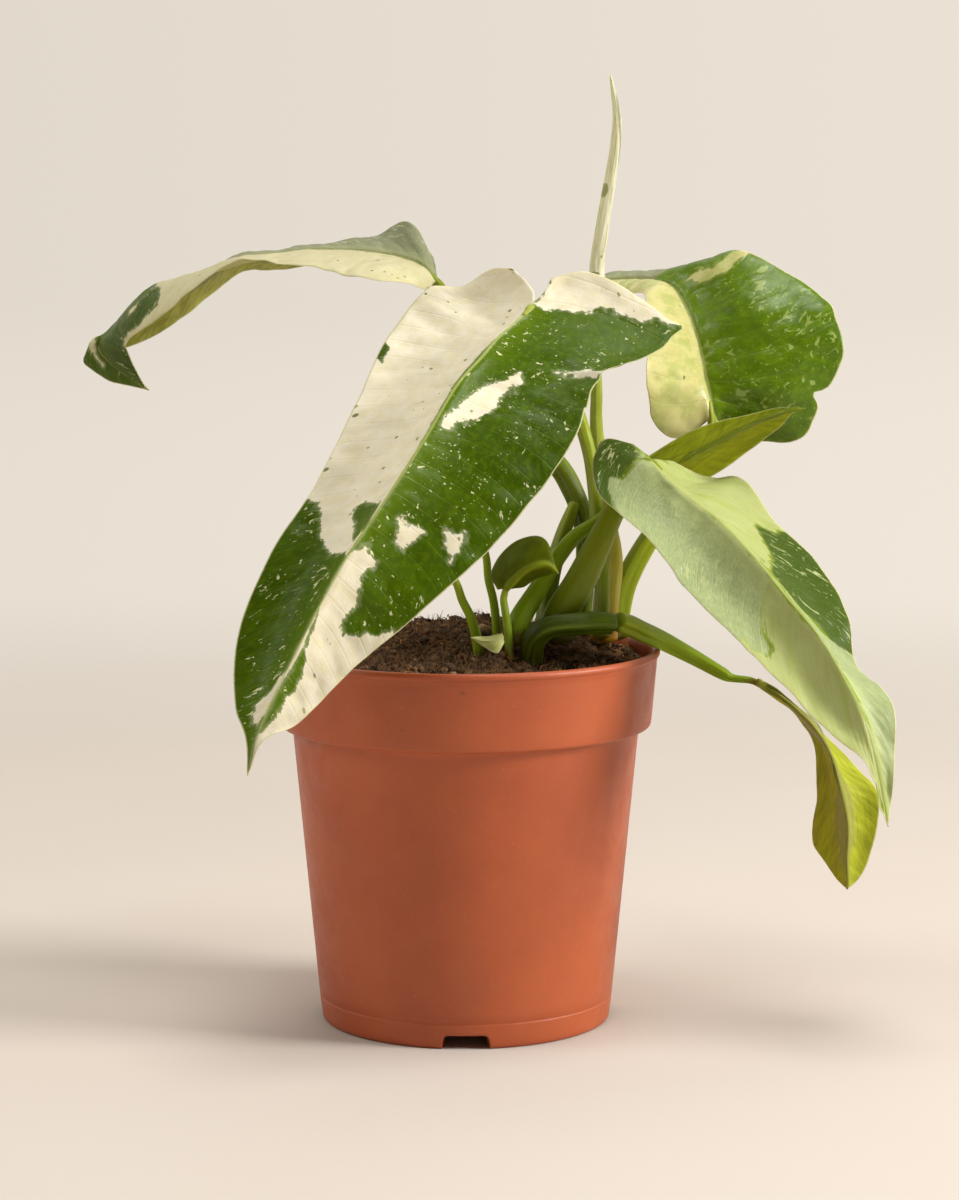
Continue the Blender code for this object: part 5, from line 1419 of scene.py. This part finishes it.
def pot_piece():
    # outside from the foot up, round the lip, inside down, then the base
    out = []
    slope = (BODY_TOP_RADIUS - BODY_FOOT_RADIUS) / (BAND_BOTTOM_Z - 0.0)
    for z, inset in ((0.0, 1.4), (0.12, 0.75), (0.45, 0.32), (1.0, 0.08), (1.8, 0.0), (2.6, 0.0), (3.4, 0.0),
                     (4.2, 0.0), (5.0, 0.0), (6.2, 0.0), (7.15, 0.0), (7.45, -0.02), (7.65, 0.16), (7.9, 0.18),
                     (8.2, 0.0)):
        out.append((BODY_FOOT_RADIUS + slope * z - inset, z))
    for z in np.linspace(11, BAND_BOTTOM_Z - 3.2, 22):
        out.append((BODY_FOOT_RADIUS + slope * z, float(z)))
    top_r = BODY_FOOT_RADIUS + slope * BAND_BOTTOM_Z
    # the step out to the rim band, with soft inner and outer corners
    for f in np.linspace(0, 1, 7)[1:]:
        a = f * math.pi / 2
        out.append((top_r + 1.6 * (1 - math.cos(a)), BAND_BOTTOM_Z - 1.6 + 1.6 * math.sin(a) - 0.0))
    out.append((BAND_BOTTOM_RADIUS - 1.3, BAND_BOTTOM_Z + 0.02))
    for f in np.linspace(0, 1, 6)[1:]:
        a = f * math.pi / 2
        out.append((BAND_BOTTOM_RADIUS - 1.1 + 1.1 * math.sin(a), BAND_BOTTOM_Z + 1.1 - 1.1 * math.cos(a)))
    lip_z = POT_HEIGHT - 2.6
    band = (RIM_RADIUS - 0.8 - BAND_BOTTOM_RADIUS) / (lip_z - BAND_BOTTOM_Z)
    for z in np.linspace(BAND_BOTTOM_Z + 2.5, lip_z - 0.3, 12):
        out.append((BAND_BOTTOM_RADIUS + band * (z - BAND_BOTTOM_Z), float(z)))
    # rolled lip
    cx, cz, rr = RIM_RADIUS - 1.25, POT_HEIGHT - 1.25, 1.25
    out.append((RIM_RADIUS - 0.62, lip_z + 0.02))
    for a in np.radians(np.linspace(-62, 175, 17)):
        out.append((cx + rr * math.cos(a), cz + rr * math.sin(a)))
    inner = [(RIM_RADIUS - 0.8 - WALL - 0.9, POT_HEIGHT - 2.4)]
    for z in np.linspace(POT_HEIGHT - 4.5, BAND_BOTTOM_Z + 3, 7):
        inner.append((BAND_BOTTOM_RADIUS + band * (z - BAND_BOTTOM_Z) - WALL - 0.25, float(z)))
    for f in np.linspace(0, 1, 5):
        inner.append((top_r - WALL + 1.8 * (1 - f), BAND_BOTTOM_Z + 1.2 - 2.2 * f))
    floor_z = BASE_UNDERSIDE_Z + BASE_THICKNESS
    for z in np.linspace(BAND_BOTTOM_Z - 6, floor_z + 1.5, 12):
        inner.append((BODY_FOOT_RADIUS + slope * z - WALL, float(z)))
    ir = BODY_FOOT_RADIUS + slope * floor_z - WALL
    inner += [(ir - 0.4, floor_z + 0.5), (ir - 1.3, floor_z), (36.0, floor_z), (30.0, floor_z), (20.0, floor_z),
              (10.0, floor_z), (0.0, floor_z)]
    under_r = BODY_FOOT_RADIUS - 6.0
    under = [(0.0, BASE_UNDERSIDE_Z - 0.6), (10.0, BASE_UNDERSIDE_Z - 0.6), (13.0, BASE_UNDERSIDE_Z),
             (20.0, BASE_UNDERSIDE_Z), (30.0, BASE_UNDERSIDE_Z), (under_r - 1.0, BASE_UNDERSIDE_Z),
             (under_r, BASE_UNDERSIDE_Z - 0.4), (under_r + 0.2, 3.2), (under_r + 0.3, 1.8), (under_r + 0.4, 0.5),
             (under_r + 0.8, 0.0), (under_r + 2.5, 0.0)]
    profile = out + inner + under
    angles = list(np.linspace(0, 360, 216, endpoint=False))
    half_deg = math.degrees(NOTCH_HALF / BODY_FOOT_RADIUS)
    for n in FOOT_NOTCHES:
        for off in (-half_deg - 0.35, -half_deg, -half_deg + 0.35, -half_deg + 0.8, -half_deg + 1.3,
                    half_deg - 1.3, half_deg - 0.8, half_deg - 0.35, half_deg, half_deg + 0.35):
            angles.append((n + off) % 360)
    angles = np.array(sorted(set(round(a, 3) for a in angles)))
    rise = np.zeros(len(angles))
    for n in FOOT_NOTCHES:
        d = np.abs((angles - n + 180) % 360 - 180) * math.pi / 180 * BODY_FOOT_RADIUS
        # steep sides with rounded upper corners
        e = np.clip((NOTCH_HALF - d) / 1.6, 0, 1)
        rise = np.maximum(rise, NOTCH_RISE * np.sqrt(1 - (1 - e) ** 2))
    verts, faces = [], []
    index = []
    for k, a in enumerate(np.radians(angles)):
        col = []
        for r, z in profile:
            if r < 1e-6:
                col.append(None)
                continue
            zz = z
            if r > under_r - 0.5 and z < NOTCH_RISE + 0.8:
                zz = max(z, rise[k] + z * 0.12) if rise[k] > 0.01 else z
                zz = min(zz, BASE_UNDERSIDE_Z + 0.3) if z < BASE_UNDERSIDE_Z else zz
            warp = 0.10 * math.sin(2 * a + 0.6) * (z / POT_HEIGHT)
            col.append(len(verts))
            verts.append(((r + warp) * math.cos(a), (r + warp) * math.sin(a), zz))
        index.append(col)
    hub_top = len(verts)
    verts.append((0, 0, floor_z))
    hub_low = len(verts)
    verts.append((0, 0, BASE_UNDERSIDE_Z - 0.6))
    count = len(angles)
    total = len(profile)
    for k in range(count):
        a, b = index[k], index[(k + 1) % count]
        for i in range(total):
            j = (i + 1) % total
            if a[i] is None and a[j] is None:
                continue
            if a[i] is None:
                hub = hub_low
                faces.append((hub, b[j], a[j]))
            elif a[j] is None:
                faces.append((a[i], b[i], hub_top))
            else:
                faces.append((a[i], b[i], b[j], a[j]))
    obj = new_mesh("pot_skin", np.array(verts) * MM, faces)
    bm = bmesh.new()
    bm.from_mesh(obj.data)
    bmesh.ops.recalc_face_normals(bm, faces=bm.faces)
    bm.to_mesh(obj.data)
    bm.free()
    for spot in (45, 135, 225, 315):
        bpy.ops.mesh.primitive_cylinder_add(vertices=28, radius=4.0 * MM, depth=14 * MM,
                                            location=(25 * MM * math.cos(math.radians(spot)),
                                                      25 * MM * math.sin(math.radians(spot)), 5 * MM))
        tool = bpy.context.active_object
        cut = obj.modifiers.new("hole", "BOOLEAN")
        cut.object = tool
        cut.operation = "DIFFERENCE"
        cut.solver = "EXACT"
        bpy.context.view_layer.objects.active = obj
        bpy.ops.object.modifier_apply(modifier=cut.name)
        bpy.data.objects.remove(tool, do_unlink=True)
    obj.data.shade_smooth()
    m = Tree("terracotta_plastic")
    place = m.place()
    broad = m.noise(place, 22.0, 4.0, 0.6)
    cloud = m.noise(m.vec("MULTIPLY", place, (1.0, 1.0, 0.35)), 70.0, 3.0, 0.6)
    speck = m.noise(place, 1400.0, 2.0, 0.6)
    base = m.mix(m.ramp(broad, 0.3, 0.7), linear(162, 71, 28), linear(174, 81, 34))
    base = m.mix(m.ramp(cloud, 0.52, 0.80, 0.0, 0.35), base, linear(160, 84, 52))
    base = m.mix(m.ramp(speck, 0.62, 0.78, 0.0, 0.30), base, linear(210, 130, 92))
    # faint rubbed streaks and a few dark scuffs
    scuff_d, scuff_c = m.voronoi(m.vec("MULTIPLY", place, (60.0, 60.0, 110.0)), 1.0)
    sr, sg, sb = m.red(scuff_c)
    scuff = m.mul(m.ramp(scuff_d, 0.02, 0.10, 1.0, 0.0), m.ramp(sr, 0.86, 0.88))
    base = m.mix(m.mul(scuff, 0.7), base, linear(84, 44, 28))
    light = m.mul(m.ramp(scuff_d, 0.02, 0.09, 1.0, 0.0), m.ramp(sg, 0.90, 0.92))
    base = m.mix(m.mul(light, 0.6), base, linear(214, 150, 116))
    rub = m.noise(m.vec("MULTIPLY", place, (40.0, 40.0, 600.0)), 1.0, 2.0, 0.5)
    rough = m.add(m.ramp(m.noise(place, 120.0, 4.0, 0.65), 0.3, 0.7, 0.40, 0.54), m.ramp(rub, 0.6, 0.8, 0.0, 0.06))
    height = m.add(m.mul(speck, 0.6), m.mul(m.noise(place, 260.0, 3.0, 0.6), 0.8))
    m.surface(base, rough, m.bump(height, 0.25, 0.00018), specular=0.56, coat=0.0)
    obj.data.materials.clear()
    obj.data.materials.append(m.mat)
    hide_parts("pot")
    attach(obj, "root")
    return obj


pot_piece()

# ===================================================================== finish
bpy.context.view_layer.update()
import json
